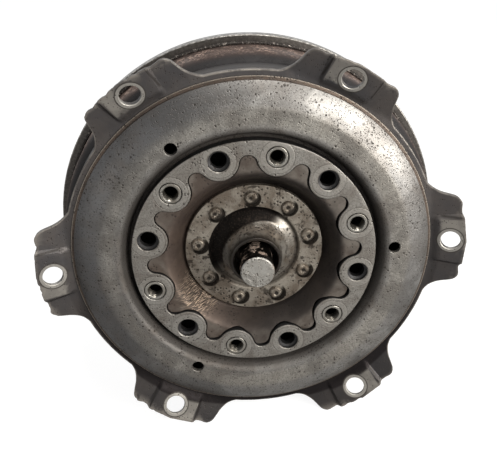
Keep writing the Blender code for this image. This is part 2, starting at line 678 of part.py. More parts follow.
def vane_ring(name, count, half_height, depth, sweep, axis):
    """Core ring with the vanes that reach from it to the shell, in one piece.

    The vanes follow the torus, and bow by the sweep in degrees on the way.
    """
    first, last = VANE_FIRST_ANGLE, VANE_LAST_ANGLE
    core = sheet(torus_arc(CORE_HALF_H, math.copysign(CORE_DEPTH, depth), first, last, 3),
                 math.copysign(CORE_T, depth))
    wheel = turned(name, core, 24, PLAIN_STEEL, axis)
    rows = 4
    outer_h = half_height - VANE_EDGE_GAP
    outer_d = depth - math.copysign(VANE_EDGE_GAP, depth)
    inner_h = CORE_HALF_H - CORE_T / 2
    inner_d = math.copysign(CORE_DEPTH - CORE_T / 2, depth)
    blades = bmesh.new()
    for turn in angles(count):
        sections = []
        for row in range(rows + 1):
            share = row / rows
            flow = math.radians(first + (last - first) * share)
            lean = turn + sweep * math.sin(math.pi * (share - 0.5) / 2)
            section = []
            for side, reach_h, reach_d in ((-1, outer_h, outer_d), (1, outer_h, outer_d),
                                           (1, inner_h, inner_d), (-1, inner_h, inner_d)):
                radius = TORUS_R + reach_h * math.cos(flow)
                spread = math.degrees(VANE_T / 2 / radius)
                x, z = polar(radius, lean + side * spread)
                section.append((x, TORUS_Y + reach_d * math.sin(flow), z))
            sections.append(section)
        loft(blades, sections)
    combine(wheel, blades, "UNION")


def turbine_shell(axis):
    inside = torus_arc(TURBINE_HALF_H, -TURBINE_DEPTH, VANE_FIRST_ANGLE, FLAT_ANGLE, 4)
    path = inside + [(TURBINE_PILOT_R + SEAT, TURBINE_FLAT)]
    turned("turbine_shell", sheet(path[::-1], -TURBINE_SHELL_T), 24, PLAIN_STEEL, axis)


def turbine_hub(axis):
    shoulder = DRIVEN_FACE + DRIVEN_PLATE_T + SEAT
    groove = PISTON_FACE + SEAL_W * 2
    floor = TURBINE_HUB_R - SEAL_DEPTH - SEAT
    section = [(TURBINE_BORE_R, TURBINE_HUB_FACE), (TURBINE_HUB_R, TURBINE_HUB_FACE),
               (TURBINE_HUB_R, groove), (floor, groove), (floor, groove + SEAL_W + 2 * SEAT),
               (TURBINE_HUB_R, groove + SEAL_W + 2 * SEAT), (TURBINE_HUB_R, shoulder),
               (TURBINE_NOSE_R, shoulder), (TURBINE_NOSE_R, TURBINE_DISC_FACE),
               (TURBINE_DISC_R, TURBINE_DISC_FACE), (TURBINE_DISC_R, TURBINE_DISC_BACK),
               (TURBINE_PILOT_R, TURBINE_DISC_BACK), (TURBINE_PILOT_R, TURBINE_PILOT_END),
               (TURBINE_BORE_R, TURBINE_PILOT_END)]
    hub = turned("turbine_hub", section, 20, BRIGHT_STEEL, axis)
    combine(hub, spline(TURBINE_BORE_R, SPLINE_TEETH, TURBINE_HUB_FACE, TURBINE_PILOT_END), "DIFFERENCE")
    ring("piston_seal", TURBINE_HUB_R - SEAL_DEPTH, TURBINE_HUB_R, groove + SEAT,
         groove + SEAT + SEAL_W, 20, SEAL_PLASTIC, axis)


def needle_bearing(name, near, axis):
    """Flat cage with radial needles that stand proud of both its faces."""
    middle = near + NEEDLE_R
    half = NEEDLE_R / 2
    cage = ring(name, BEARING_INNER_R, BEARING_OUTER_R, middle - half, middle + half, 16,
                PLAIN_STEEL, axis)
    needles = bmesh.new()
    for angle in angles(NEEDLES):
        sections = []
        for radius in (BEARING_INNER_R + NEEDLE_R, BEARING_OUTER_R - NEEDLE_R):
            x, z = polar(radius, angle)
            across = Vector((-z, 0, x)).normalized()
            section = []
            for side in angles(6):
                over, up = polar(NEEDLE_R, side)
                section.append(Vector((x, middle + over, z)) + across * up)
            sections.append(section)
        loft(needles, sections)
    combine(cage, needles, "UNION")


def lockup_piston(axis):
    collar = PISTON_FACE + PISTON_COLLAR
    lip = PISTON_FACE + PISTON_LIP
    path = rounded([(TURBINE_HUB_R + SEAT, collar), (TURBINE_HUB_R + SEAT, PISTON_FACE),
                    (PISTON_R, PISTON_FACE), (PISTON_R, lip)], [0, PISTON_CORNER_R], 1)
    turned("lockup_piston", sheet(path, PISTON_T), 24, PLAIN_STEEL, axis)
    ring("friction_lining", LINING_OUTER_R - LINING_W, LINING_OUTER_R, LINING_FACE,
         LINING_FACE + LINING_T, 24, FRICTION_PAPER, axis)


def damper_gaps():
    """Angles midway between the springs."""
    return angles(DAMPER_SPRINGS, 180 / DAMPER_SPRINGS)


def damper_retainer(axis):
    wall = RETAINER_FACE + RETAINER_WALL
    path = [(SPRING_CIRCLE_R - RETAINER_LIP, RETAINER_FACE), (RETAINER_R, RETAINER_FACE),
            (RETAINER_R, wall)]
    retainer = turned("damper_retainer", sheet(path, RETAINER_T), 24, PLAIN_STEEL, axis)
    tabs = bmesh.new()
    root = RETAINER_FACE + RETAINER_T / 2
    top = DRIVEN_FACE - SEAT
    for angle in damper_gaps():
        block = Matrix.Diagonal((2 * ARM_REACH, top - root, 2 * ARM_HALF_W, 1))
        place = Matrix.Translation((SPRING_CIRCLE_R, (root + top) / 2, 0))
        spun = Matrix.Rotation(math.radians(-angle), 4, "Y")
        bmesh.ops.create_cube(tabs, size=1, matrix=spun @ place @ block)
    combine(retainer, tabs, "UNION")


def damper_driven_plate(axis):
    reach = SPRING_CIRCLE_R + ARM_REACH
    half = math.degrees(math.asin(ARM_HALF_W / reach))
    root = math.degrees(math.asin(ARM_HALF_W / DRIVEN_PLATE_R))
    outline = []
    for angle in damper_gaps():
        outline += [polar(DRIVEN_PLATE_R, angle - root), polar(reach, angle - half), polar(reach, angle),
                    polar(reach, angle + half), polar(DRIVEN_PLATE_R, angle + root)]
        outline += [polar(DRIVEN_PLATE_R, angle + root + (360 / DAMPER_SPRINGS - 2 * root) * i / 5)
                    for i in range(1, 5)]
    plate("damper_driven_plate", [outline, circle(TURBINE_HUB_R + SEAT, 24)], DRIVEN_FACE,
          DRIVEN_FACE + DRIVEN_PLATE_T, PLAIN_STEEL, axis)


def damper_springs(axis):
    """Coils whose middle line is an arc about the converter's axis."""
    per_turn = 5
    steps = SPRING_TURNS * per_turn
    coil_r = SPRING_R - SPRING_WIRE_R
    for number, middle in enumerate(angles(DAMPER_SPRINGS), 1):
        sections = []
        for i in range(steps + 1):
            along = middle + SPRING_HALF_ANGLE * (2 * i / steps - 1)
            out_x, out_z = polar(1, along)
            outward = Vector((out_x, 0, out_z))
            wind = 2 * math.pi * i / per_turn
            away = outward * math.cos(wind) + Vector((0, math.sin(wind), 0))
            forward = Vector((-out_z, 0, out_x))
            centre = outward * SPRING_CIRCLE_R + Vector((0, SPRING_Y, 0)) + away * coil_r
            section = []
            for side in angles(4):
                over, up = polar(SPRING_WIRE_R, side)
                section.append(centre + away * over + forward * up)
            sections.append(section)
        make_object(f"damper_spring_{number}", loft(bmesh.new(), sections), PLAIN_STEEL, axis)


def clutch(race_axis, stator_axis):
    inner = ring("clutch_inner_race", INNER_RACE_BORE_R, INNER_RACE_R, RACE_FACE, RACE_BACK, 24,
                 BRIGHT_STEEL, race_axis)
    combine(inner, spline(INNER_RACE_BORE_R, SPLINE_TEETH, RACE_FACE, RACE_BACK), "DIFFERENCE")
    ring("clutch_outer_race", OUTER_RACE_BORE_R, OUTER_RACE_R, RACE_FACE, RACE_BACK, 24,
         BRIGHT_STEEL, stator_axis)
    section = [(0, RACE_FACE), (ROLLER_R, RACE_FACE), (ROLLER_R, RACE_BACK), (0, RACE_BACK)]
    first = turned("clutch_roller", section, 6, BRIGHT_STEEL, stator_axis)
    copies(first, "clutch_roller", circle(ROLLER_CIRCLE_R, ROLLER_COUNT))
    washer_bore = INNER_RACE_R + SEAT
    ring("clutch_washer_front", washer_bore, OUTER_RACE_R, FRONT_WASHER_FACE, RACE_FACE - SEAT, 24,
         PLAIN_STEEL, stator_axis)
    ring("clutch_washer_rear", washer_bore, OUTER_RACE_R, RACE_BACK + SEAT, REAR_WASHER_BACK, 24,
         PLAIN_STEEL, stator_axis)


def stator_wheel(axis):
    """Hub and shroud joined by cambered vanes with a blunt nose and a thin tail."""
    middle = (FRONT_WASHER_FACE + REAR_WASHER_BACK) / 2
    near = middle - STATOR_HUB_W / 2
    wheel = ring("stator_wheel", STATOR_BORE_R, STATOR_HUB_R, near, near + STATOR_HUB_W, 24,
                 CAST_ALUMINIUM, axis)
    half = SHROUD_W / 2
    section = [(SHROUD_R, middle - half), (SHROUD_R + SHROUD_T, middle - half),
               (SHROUD_R + SHROUD_T, middle + half), (SHROUD_R, middle + half)]
    combine(wheel, turned_mesh(section, 24), "UNION")
    chord = SHROUD_W * VANE_CHORD_SHARE
    offset = chord * VANE_OFFSET_SHARE
    vanes = bmesh.new()
    for turn in angles(STATOR_VANES):
        sections = []
        for radius in (STATOR_HUB_R - SHROUD_T / 2, SHROUD_R + SHROUD_T / 2):
            section = []
            for along, half_t in VANE_OUTLINE:
                camber = chord * VANE_CAMBER * along ** VANE_CAMBER_POWER
                x, z = polar(radius, turn)
                across = Vector((-z, 0, x)).normalized() * (camber + half_t - offset)
                section.append(Vector((x, middle + chord * (along - 0.5), z)) + across)
            sections.append(section)
        loft(vanes, sections)
    combine(wheel, vanes, "UNION")


def axis_empty(name, parent=None):
    empty = bpy.data.objects.new(name, None)
    bpy.context.collection.objects.link(empty)
    empty.parent = parent
    return empty


def build():
    housing = axis_empty("housing_axis")
    turbine = axis_empty("turbine_axis", housing)
    damper = axis_empty("damper_axis", turbine)
    piston = axis_empty("piston_axis", damper)
    inner_race = axis_empty("inner_race_axis", housing)
    stator = axis_empty("stator_axis", inner_race)

    crank_spigot(housing)
    hub_flange(housing)
    hub_rivets(housing)
    inner_drive_plate(housing)
    bolt_ring(housing)
    bolt_sleeves(housing)
    dome_plate(housing)
    drive_flange(housing)
    ring("skirt_ring", SKIRT_R - SKIRT_T, SKIRT_R, FLANGE_BACK + SEAT, COVER_FACE - SEAT, 40,
         DARK_STEEL, housing)
    front_cover(housing)
    impeller_shell(housing)
    impeller_hub(housing)
    vane_ring("impeller_vanes", IMPELLER_VANES, TORUS_HALF_H, IMPELLER_DEPTH, IMPELLER_VANE_SWEEP,
              housing)
    ring("cover_thrust_washer", TURBINE_BORE_R + SEAT, TURBINE_HUB_R - SEAT, COVER_INSIDE + SEAT,
         COVER_INSIDE + SEAT + THRUST_WASHER_T, 16, BRIGHT_STEEL, housing)
    ring("rear_bearing_race", BEARING_INNER_R, BEARING_OUTER_R, REAR_RACE_BACK - BEARING_SPACER_T,
         REAR_RACE_BACK, 16, PLAIN_STEEL, housing)
    needle_bearing("rear_needle_bearing", REAR_NEEDLES_BACK - 2 * NEEDLE_R, housing)

    turbine_shell(turbine)
    vane_ring("turbine_vanes", TURBINE_VANES, TURBINE_HALF_H, -TURBINE_DEPTH, TURBINE_VANE_SWEEP,
              turbine)
    turbine_hub(turbine)
    ring("front_bearing_race", TURBINE_HUB_R, BEARING_OUTER_R, FRONT_RACE_FACE,
         FRONT_RACE_FACE + BEARING_RACE_T, 16, PLAIN_STEEL, turbine)
    needle_bearing("front_needle_bearing", FRONT_NEEDLES_FACE, turbine)
    damper_driven_plate(turbine)

    damper_retainer(damper)
    damper_springs(damper)
    lockup_piston(piston)

    clutch(inner_race, stator)
    stator_wheel(stator)


build()
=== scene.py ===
"""Looks of a car torque converter that stands on its edge, seen from its engine side."""
import json
import math

import bmesh
import bpy
from mathutils import Euler, Matrix, Vector, noise


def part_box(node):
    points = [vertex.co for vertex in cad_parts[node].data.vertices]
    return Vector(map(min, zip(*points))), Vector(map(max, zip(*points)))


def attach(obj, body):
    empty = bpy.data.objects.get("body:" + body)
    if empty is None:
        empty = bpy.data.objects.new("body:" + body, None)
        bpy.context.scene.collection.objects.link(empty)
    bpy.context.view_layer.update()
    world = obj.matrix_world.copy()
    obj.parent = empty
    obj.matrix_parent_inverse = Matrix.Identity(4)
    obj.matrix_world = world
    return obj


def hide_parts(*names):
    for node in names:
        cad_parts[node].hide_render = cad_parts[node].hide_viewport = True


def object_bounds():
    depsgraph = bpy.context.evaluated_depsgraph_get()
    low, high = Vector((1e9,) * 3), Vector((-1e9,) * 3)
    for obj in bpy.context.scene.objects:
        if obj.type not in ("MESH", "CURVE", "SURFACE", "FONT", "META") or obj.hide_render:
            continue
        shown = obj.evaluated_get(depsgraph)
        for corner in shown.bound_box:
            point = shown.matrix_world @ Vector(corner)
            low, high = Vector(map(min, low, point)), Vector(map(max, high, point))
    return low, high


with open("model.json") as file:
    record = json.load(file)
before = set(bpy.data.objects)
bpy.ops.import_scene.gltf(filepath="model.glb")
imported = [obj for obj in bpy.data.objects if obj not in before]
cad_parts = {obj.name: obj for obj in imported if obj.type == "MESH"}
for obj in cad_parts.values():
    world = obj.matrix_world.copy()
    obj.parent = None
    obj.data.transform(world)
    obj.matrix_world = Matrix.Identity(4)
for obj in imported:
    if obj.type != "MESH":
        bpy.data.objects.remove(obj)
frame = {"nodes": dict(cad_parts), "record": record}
cad_box = [list(corner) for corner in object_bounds()]

# Camera: a phone held above the engine side, at arm's length, turned a few degrees about
# the axis. The picture was cropped after it was taken, so the lens is shifted a little.
camera = bpy.data.cameras.new("camera")
camera.sensor_width = 36
camera.lens = 51.8
camera.shift_x = -0.0795
camera.shift_y = 0.0211
camera_stand = bpy.data.objects.new("camera", camera)
camera_stand.location = (-0.0110, -0.3929, 0.2182)
camera_stand.rotation_euler = Euler([math.radians(a) for a in (63.417, 2.712, -5.888)])
bpy.context.collection.objects.link(camera_stand)
bpy.context.scene.camera = camera_stand
bpy.context.scene.view_settings.view_transform = "Standard"


def put(tree, kind, inputs=None, **settings):
    """Adds a shader or geometry node; an input takes a value or another node's output."""
    node = tree.nodes.new(kind)
    for name, value in settings.items():
        setattr(node, name, value)
    for key, value in (inputs or {}).items():
        if isinstance(value, bpy.types.NodeSocket):
            tree.links.new(value, node.inputs[key])
        else:
            node.inputs[key].default_value = value
    return node


def calc(tree, operation, *values):
    """A Math node's output."""
    return put(tree, "ShaderNodeMath", dict(enumerate(values)), operation=operation).outputs[0]


def times(tree, first, second):
    """Product of two values."""
    return calc(tree, "MULTIPLY", first, second)


def plus(tree, first, second):
    """Sum of two values."""
    return calc(tree, "ADD", first, second)


def minus(tree, first, second):
    """Difference of two values."""
    return calc(tree, "SUBTRACT", first, second)


def axes(tree, vector):
    """The X, Y and Z of a vector."""
    return put(tree, "ShaderNodeSeparateXYZ", {0: vector}).outputs


# Floor and studio: a pale sheet that runs out of the picture on all sides, a large soft lamp
# above the right shoulder, a weak one low on the left, a small one on top, and a white room.
floor_mesh = bmesh.new()
bmesh.ops.create_grid(floor_mesh, x_segments=1, y_segments=1, size=20)
bmesh.ops.translate(floor_mesh, verts=floor_mesh.verts, vec=(0, 0, cad_box[0][2] - 0.0002))
floor_data = bpy.data.meshes.new("floor")
floor_mesh.to_mesh(floor_data)
floor_mesh.free()
floor = bpy.data.objects.new("floor", floor_data)
bpy.context.collection.objects.link(floor)
paper = bpy.data.materials.new("studio_paper")
paper.use_nodes = True
paper.node_tree.nodes.clear()
seen_by = put(paper.node_tree, "ShaderNodeLightPath")
mirrored = calc(paper.node_tree, "MAXIMUM", seen_by.outputs["Is Glossy Ray"],
    seen_by.outputs["Is Transmission Ray"])
shown = plus(paper.node_tree, times(paper.node_tree, seen_by.outputs["Is Camera Ray"], 0.91),
    times(paper.node_tree, mirrored, 0.12))
matte = put(paper.node_tree, "ShaderNodeBsdfDiffuse", {"Color": (0.24, 0.24, 0.24, 1)})
glow = put(paper.node_tree, "ShaderNodeEmission", {"Color": (1, 1, 1, 1), "Strength": shown})
both = put(paper.node_tree, "ShaderNodeAddShader", {0: matte.outputs[0], 1: glow.outputs[0]})
put(paper.node_tree, "ShaderNodeOutputMaterial", {"Surface": both.outputs[0]})
floor_data.materials.append(paper)

room = bpy.data.worlds.new("room")
room.use_nodes = True
room.node_tree.nodes.clear()
ray = put(room.node_tree, "ShaderNodeLightPath")
direction = put(room.node_tree, "ShaderNodeSeparateXYZ",
                {0: put(room.node_tree, "ShaderNodeTexCoord").outputs["Generated"]})
behind = put(room.node_tree, "ShaderNodeMapRange",
             {0: direction.outputs["Y"], 1: -0.75, 2: 0.30, 3: 0.15, 4: 0.8},
             interpolation_type="SMOOTHSTEP").outputs[0]
mirrored = calc(room.node_tree, "MAXIMUM", ray.outputs["Is Glossy Ray"], ray.outputs["Is Transmission Ray"])
strength = put(room.node_tree, "ShaderNodeMix", {"Factor": mirrored, "A": 0.38, "B": behind}).outputs[0]
strength = put(room.node_tree, "ShaderNodeMix",
               {"Factor": ray.outputs["Is Camera Ray"], "A": strength, "B": 1.0}).outputs[0]
air = put(room.node_tree, "ShaderNodeBackground", {"Color": (1, 1, 1, 1), "Strength": strength})
put(room.node_tree, "ShaderNodeOutputWorld", {"Surface": air.outputs[0]})
bpy.context.scene.world = room

for lamp_name, place, size, power in (("key_lamp", (0.78, -0.72, 0.34), 0.80, 19.0),
                                      ("fill_lamp", (-0.80, -0.90, -0.05), 0.60, 2.0),
                                      ("top_lamp", (0.18, -0.30, 1.05), 0.40, 6.0)):
    lamp = bpy.data.lights.new(lamp_name, "AREA")
    lamp.shape = "DISK"
    lamp.size = size
    lamp.energy = power
    lamp.color = (1.0, 0.95, 0.87)
    stand = bpy.data.objects.new(lamp_name, lamp)
    stand.location = place
    stand.rotation_euler = (-Vector(place)).to_track_quat("-Z", "Y").to_euler()
    bpy.context.collection.objects.link(stand)


# Front cover: a deep drum drawn from 4.5 mm sheet, with a rolled corner. Its side has a thin
# brown film of rust that rubbed bright in spots, and its face hides behind the drive flange.
def softened(outline, steps=5):
    """Closed (radius, y, fillet) outline with an arc at each corner that has a fillet."""
    path = []
    for i, (radius, y, fillet) in enumerate(outline):
        corner = Vector((radius, y))
        before = (Vector(outline[i - 1][:2]) - corner).normalized()
        after = (Vector(outline[(i + 1) % len(outline)][:2]) - corner).normalized()
        if fillet == 0:
            path.append((radius, y))
            continue
        half = before.angle(after) / 2
        centre = corner + (before + after).normalized() * fillet / math.sin(half)
        start = corner + before * fillet / math.tan(half) - centre
        sweep = start.angle_signed(corner + after * fillet / math.tan(half) - centre)
        for k in range(steps + 1):
            path.append(tuple(centre + Matrix.Rotation(-sweep * k / steps, 2) @ start))
    return path


def turned(name, outline, steps=180, sharp=32):
    """A piece of revolution about the Y axis from a closed outline."""
    path = softened(outline, 8)
    bm = bmesh.new()
    rings = []
    for radius, y in path:
        if radius < 1e-6:
            rings.append([bm.verts.new((0, y, 0))] * steps)
        else:
            rings.append([bm.verts.new((radius * math.cos(2 * math.pi * i / steps), y,
                                        radius * math.sin(2 * math.pi * i / steps)))
                          for i in range(steps)])
    for ring, after in zip(rings, rings[1:] + rings[:1]):
        for i in range(steps):
            j = (i + 1) % steps
            corners = list(dict.fromkeys((ring[i], ring[j], after[j], after[i])))
            if len(corners) > 2:
                bm.faces.new(corners)
    return finished(name, bm, sharp)


def finished(name, bm, sharp=32):
    """Turns a closed bmesh into an object whose faces point out."""
    bmesh.ops.recalc_face_normals(bm, faces=bm.faces)
    mesh = bpy.data.meshes.new(name)
    bm.to_mesh(mesh)
    bm.free()
    mesh.shade_smooth()
    mesh.set_sharp_from_angle(angle=math.radians(sharp))
    piece = bpy.data.objects.new(name, mesh)
    bpy.context.collection.objects.link(piece)
    return piece


def dressed(piece, material, slot, body, *nodes):
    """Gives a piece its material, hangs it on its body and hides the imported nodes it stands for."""
    piece.data.materials.clear()
    piece.data.materials.append(material)
    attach(piece, body)
    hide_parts(*nodes)
    return piece


def shader_group(name, inputs, outputs):
    """An empty shader group with its named sockets."""
    group = bpy.data.node_groups.new(name, "ShaderNodeTree")
    for socket, value in inputs.items():
        kind = "NodeSocketVector" if value is None else "NodeSocketFloat"
        made = group.interface.new_socket(socket, in_out="INPUT", socket_type=kind)
        if value is not None:
            made.default_value = value
    for socket in outputs:
        group.interface.new_socket(socket, in_out="OUTPUT", socket_type="NodeSocketFloat")
    return group, group.nodes.new("NodeGroupInput").outputs, group.nodes.new("NodeGroupOutput")


# Rust pits of all sizes: a few big ones, many small, and clean metal between the clusters.
pits_group, given, pits_out = shader_group(
    "rust_pits", {"Vector": None, "Scale": 600.0, "Coverage": 0.5, "Size": 0.4}, ["Mask"])
cells = put(pits_group, "ShaderNodeTexVoronoi", {"Vector": given["Vector"], "Scale": given["Scale"]})
lot = put(pits_group, "ShaderNodeSeparateColor", {0: cells.outputs["Color"]}).outputs[0]
patch = put(pits_group, "ShaderNodeTexNoise", {"Vector": given["Vector"], "Scale": times(pits_group,
    given["Scale"], 0.11), "Detail": 3.0}).outputs["Fac"]
limit = minus(pits_group, 1.25, times(pits_group, given["Coverage"], 1.0))
chosen = minus(pits_group, plus(pits_group, lot, minus(pits_group, patch, 0.5)), limit)
reach = times(pits_group, calc(pits_group, "MAXIMUM", chosen, 0.0), given["Size"])
reach = calc(pits_group, "MINIMUM", times(pits_group, reach, 2.0), 0.52)
pit = put(pits_group, "ShaderNodeMapRange", {0: cells.outputs["Distance"], 1: plus(pits_group, reach,
    0.02), 2: times(pits_group, reach, 0.45), 3: 0.0, 4: 1.0}, interpolation_type="SMOOTHSTEP").outputs[0]
open_pit = calc(pits_group, "GREATER_THAN", chosen, 0.0)
pits_group.links.new(times(pits_group, pit, open_pit), pits_out.inputs["Mask"])

# Stains of old oil and road dirt: soft clouds with ragged edges.
stain_group, given, stain_out = shader_group(
    "stain", {"Vector": None, "Scale": 20.0, "Coverage": 0.5, "Edge": 0.12}, ["Mask"])
cloud = put(stain_group, "ShaderNodeTexNoise",
            {"Vector": given["Vector"], "Scale": given["Scale"], "Detail": 9.0, "Roughness": 0.62,
             "Distortion": 0.35}).outputs["Fac"]
level = minus(stain_group, 0.72, times(stain_group, given["Coverage"], 0.44))
stain_group.links.new(put(stain_group, "ShaderNodeMapRange", {0: cloud, 1: minus(stain_group, level,
    given["Edge"]), 2: plus(stain_group, level, given["Edge"]), 3: 0.0, 4: 1.0},
    interpolation_type="SMOOTHSTEP").outputs[0], stain_out.inputs["Mask"])

# Fine marks that run round the axis, as a lathe or a press tool leaves them.
marks_group, given, marks_out = shader_group("turning_marks", {"Vector": None, "Pitch": 1500.0},
    ["Height", "Radius"])
along = axes(marks_group, given["Vector"])
from_axis = calc(marks_group, "SQRT", plus(marks_group, times(marks_group, along["X"], along["X"]),
    times(marks_group, along["Z"], along["Z"])))
around = calc(marks_group, "ARCTAN2", along["Z"], along["X"])
unrolled = put(marks_group, "ShaderNodeCombineXYZ", {0: times(marks_group, from_axis, given["Pitch"]),
    1: times(marks_group, along["Y"], given["Pitch"]), 2: times(marks_group, calc(marks_group, "SINE",
    around), 2.5)}).outputs[0]
streak = put(marks_group, "ShaderNodeTexNoise", {"Vector": unrolled, "Scale": 1.0,
    "Detail": 2.0}).outputs["Fac"]
marks_group.links.new(streak, marks_out.inputs["Height"])
marks_group.links.new(from_axis, marks_out.inputs["Radius"])


def metal(name, metallic=0.85):
    """A fresh material: its tree, its Principled shader and the object's own coordinates."""
    material = bpy.data.materials.new(name)
    material.use_nodes = True
    tree = material.node_tree
    shader = tree.nodes["Principled BSDF"]
    shader.inputs["Metallic"].default_value = metallic
    return material, tree, shader, put(tree, "ShaderNodeTexCoord").outputs["Object"]


def group(tree, shared, **inputs):
    """A shared group placed in a material with its own values."""
    node = put(tree, "ShaderNodeGroup", node_tree=shared)
    for key, value in inputs.items():
        if isinstance(value, bpy.types.NodeSocket):
            tree.links.new(value, node.inputs[key])
        else:
            node.inputs[key].default_value = value
    return node.outputs


def blend(tree, factor, first, second):
    """Mix of two colours, each an (r, g, b) or another node's output."""
    mix = put(tree, "ShaderNodeMix", data_type="RGBA")
    for socket, value in ((mix.inputs[0], factor), (mix.inputs[6], first), (mix.inputs[7], second)):
        if isinstance(value, bpy.types.NodeSocket):
            tree.links.new(value, socket)
        else:
            socket.default_value = (*value, 1) if isinstance(value, tuple) else value
    return mix.outputs[2]


def stains(tree, place, scale, coverage, edge):
    """Mask of the shared stains."""
    return group(tree, stain_group, Vector=place, Scale=scale, Coverage=coverage, Edge=edge)["Mask"]


def pitting(tree, place, scale, coverage, size):
    """Mask of the shared rust pits."""
    return group(tree, pits_group, Vector=place, Scale=scale, Coverage=coverage, Size=size)["Mask"]


def layered(tree, colour, layers):
    """Lays colours over a first one, each a (mask, strength, colour)."""
    for mask, strength, over in layers:
        if strength < 1:
            mask = times(tree, mask, strength)
        colour = blend(tree, mask, colour, over)
    return colour


def paint(tree, shader, colour, roughness):
    """Feeds a shader's colour and roughness."""
    tree.links.new(colour, shader.inputs["Base Color"])
    tree.links.new(roughness, shader.inputs["Roughness"])


def span(tree, value, start, stop, low=0.0, high=1.0):
    """A soft step of a value between two limits."""
    return put(tree, "ShaderNodeMapRange", {0: value, 1: start, 2: stop, 3: low, 4: high},
               interpolation_type="SMOOTHSTEP").outputs[0]


def relief(tree, shader, *layers):
    """A chain of bumps, each a (height, depth in metres) pair, that feeds the shader's normal."""
    normal = None
    for height, depth in layers:
        inputs = {"Height": height, "Distance": depth}
        if normal:
            inputs["Normal"] = normal
        normal = put(tree, "ShaderNodeBump", inputs).outputs[0]
    tree.links.new(normal, shader.inputs["Normal"])


cover_low, cover_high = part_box("front_cover")
cover_r, cover_face, cover_back = cover_high.x, cover_low.y, cover_high.y
cover_wall, cover_corner = 0.0045, 0.0100
front_cover = turned("front_cover_drum", [
    (0, cover_face, 0), (cover_r, cover_face, cover_corner), (cover_r, cover_back, 0.0004),
    (cover_r - cover_wall, cover_back, 0.0004), (cover_r - cover_wall, cover_face + cover_wall, 0.0055),
    (0, cover_face + cover_wall, 0)])
cover_rust, tree, shader, place = metal("cover_rust", 0.55)
film = stains(tree, place, 26.0, 0.62, 0.16)
patches = stains(tree, place, 110.0, 0.46, 0.12)
specks = stains(tree, place, 620.0, 0.44, 0.07)
specks = times(tree, specks, span(tree, patches, 0.0, 1.0, 0.15, 1.0))
drum_marks = group(tree, marks_group, Vector=place, Pitch=900.0)
height = axes(tree, place)["Y"]
rubbed = times(tree, specks, times(tree, span(tree, height, 0.050, 0.060), span(tree, height, 0.079,
    0.071)))
colour = blend(tree, film, (0.088, 0.070, 0.065), (0.082, 0.056, 0.048))
colour = layered(tree, colour, [
    # Darker towards the drum's front corner, beside the skirt and flange: painted shade.
    (span(tree, height, 0.056, 0.048), 1, (0.034, 0.033, 0.035)),
    (rubbed, 0.85, (0.70, 0.53, 0.45))])
paint(tree, shader, colour, span(tree, film, 0.0, 1.0, 0.42, 0.66))
shader.inputs["Specular IOR Level"].default_value = 0.25
relief(tree, shader, (drum_marks["Height"], 0.00006), (specks, 0.00012))
dressed(front_cover, cover_rust, "rusty_steel", "housing", "front_cover")


# Skirt ring: a plain band of strip steel, rolled, welded and phosphated dark, which carries
# the drive flange on the cover.
skirt_low, skirt_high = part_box("skirt_ring")
skirt_r, skirt_wall = skirt_high.x, 0.0045
skirt = turned("skirt_band", [
    (skirt_r - skirt_wall, skirt_low.y, 0.0004), (skirt_r, skirt_low.y, 0.0008),
    (skirt_r, skirt_high.y, 0.0008), (skirt_r - skirt_wall, skirt_high.y, 0.0004)])
phosphate, tree, shader, place = metal("skirt_phosphate", 0.45)
film = stains(tree, place, 40.0, 0.45, 0.2)
marks = group(tree, marks_group, Vector=place, Pitch=1400.0)
paint(tree, shader, blend(tree, film, (0.036, 0.036, 0.039), (0.050, 0.045, 0.043)),
    span(tree, marks["Height"], 0.2, 0.8, 0.38, 0.56))
relief(tree, shader, (marks["Height"], 0.00004))
dressed(skirt, phosphate, "dark_steel", "housing", "skirt_ring")


# Drive flange: a 4 mm pressing, phosphated dark, with six ears that bolt to the engine's
# drive plate. Each ear has an embossed pad, and its bolt's washer rubbed a bright ring.
def pressed(name, inner, outer, face, thickness, columns, rows, edge, sharp=32):
    """Closed sheet between two radii that depend on the angle, with rounded edges.

    inner, outer and face are functions: radius of each edge at an angle, and the front's
    height at an angle and a radius. The rows near both edges are marked as worn.
    """
    corner = [(edge * (1 - math.cos(a)), edge * (1 - math.sin(a)))
              for a in (math.pi / 2 * k / 3 for k in range(4))]
    bm = bmesh.new()
    worn = bm.verts.layers.float.new("edge")
    bands = []
    for i in range(columns):
        angle = 2 * math.pi * i / columns
        low, high = inner(angle), outer(angle)
        front = [(low + out, drop) for out, drop in corner]
        front += [(low + edge + (high - low - 2 * edge) * k / rows, 0) for k in range(1, rows)]
        front += [(high - out, drop) for out, drop in reversed(corner)]
        section = [(radius, face(angle, radius) + drop) for radius, drop in front]
        section += [(radius, face(angle, radius) + thickness - drop) for radius, drop in reversed(front)]
        band = []
        for k, (radius, y) in enumerate(section):
            vert = bm.verts.new((radius * math.cos(angle), y, radius * math.sin(angle)))
            step = min(k, len(section) - 1 - k)
            vert[worn] = 1.0 if step < 4 or step >= len(front) - 4 else 0.0
            band.append(vert)
        bands.append(band)
    for band, after in zip(bands, bands[1:] + bands[:1]):
        for k in range(len(band)):
            bm.faces.new((band[k - 1], band[k], after[k], after[k - 1]))
    return finished(name, bm, sharp)


def cut(piece, outline, places, steps=48, start=0.0, lean=0.0):
    """Takes a turned shape out of a piece at each (x, z) place, with an exact Boolean.

    With a lean the drill's axis turns towards the Y axis, about the point at y = start.
    """
    tool = bmesh.new()
    for x, z in places:
        one = turned("drill", outline, steps)
        one.data.transform(Matrix.Translation((x, start, z)) @ Matrix.Rotation(-lean, 4, (-z, 0, x)))
        tool.from_mesh(one.data)
        bpy.data.objects.remove(one)
    drill = finished("drills", tool)
    boolean = piece.modifiers.new("bore", "BOOLEAN")
    boolean.operation = "DIFFERENCE"
    boolean.solver = "EXACT"
    boolean.object = drill
    settled(piece)
    bpy.data.objects.remove(drill)


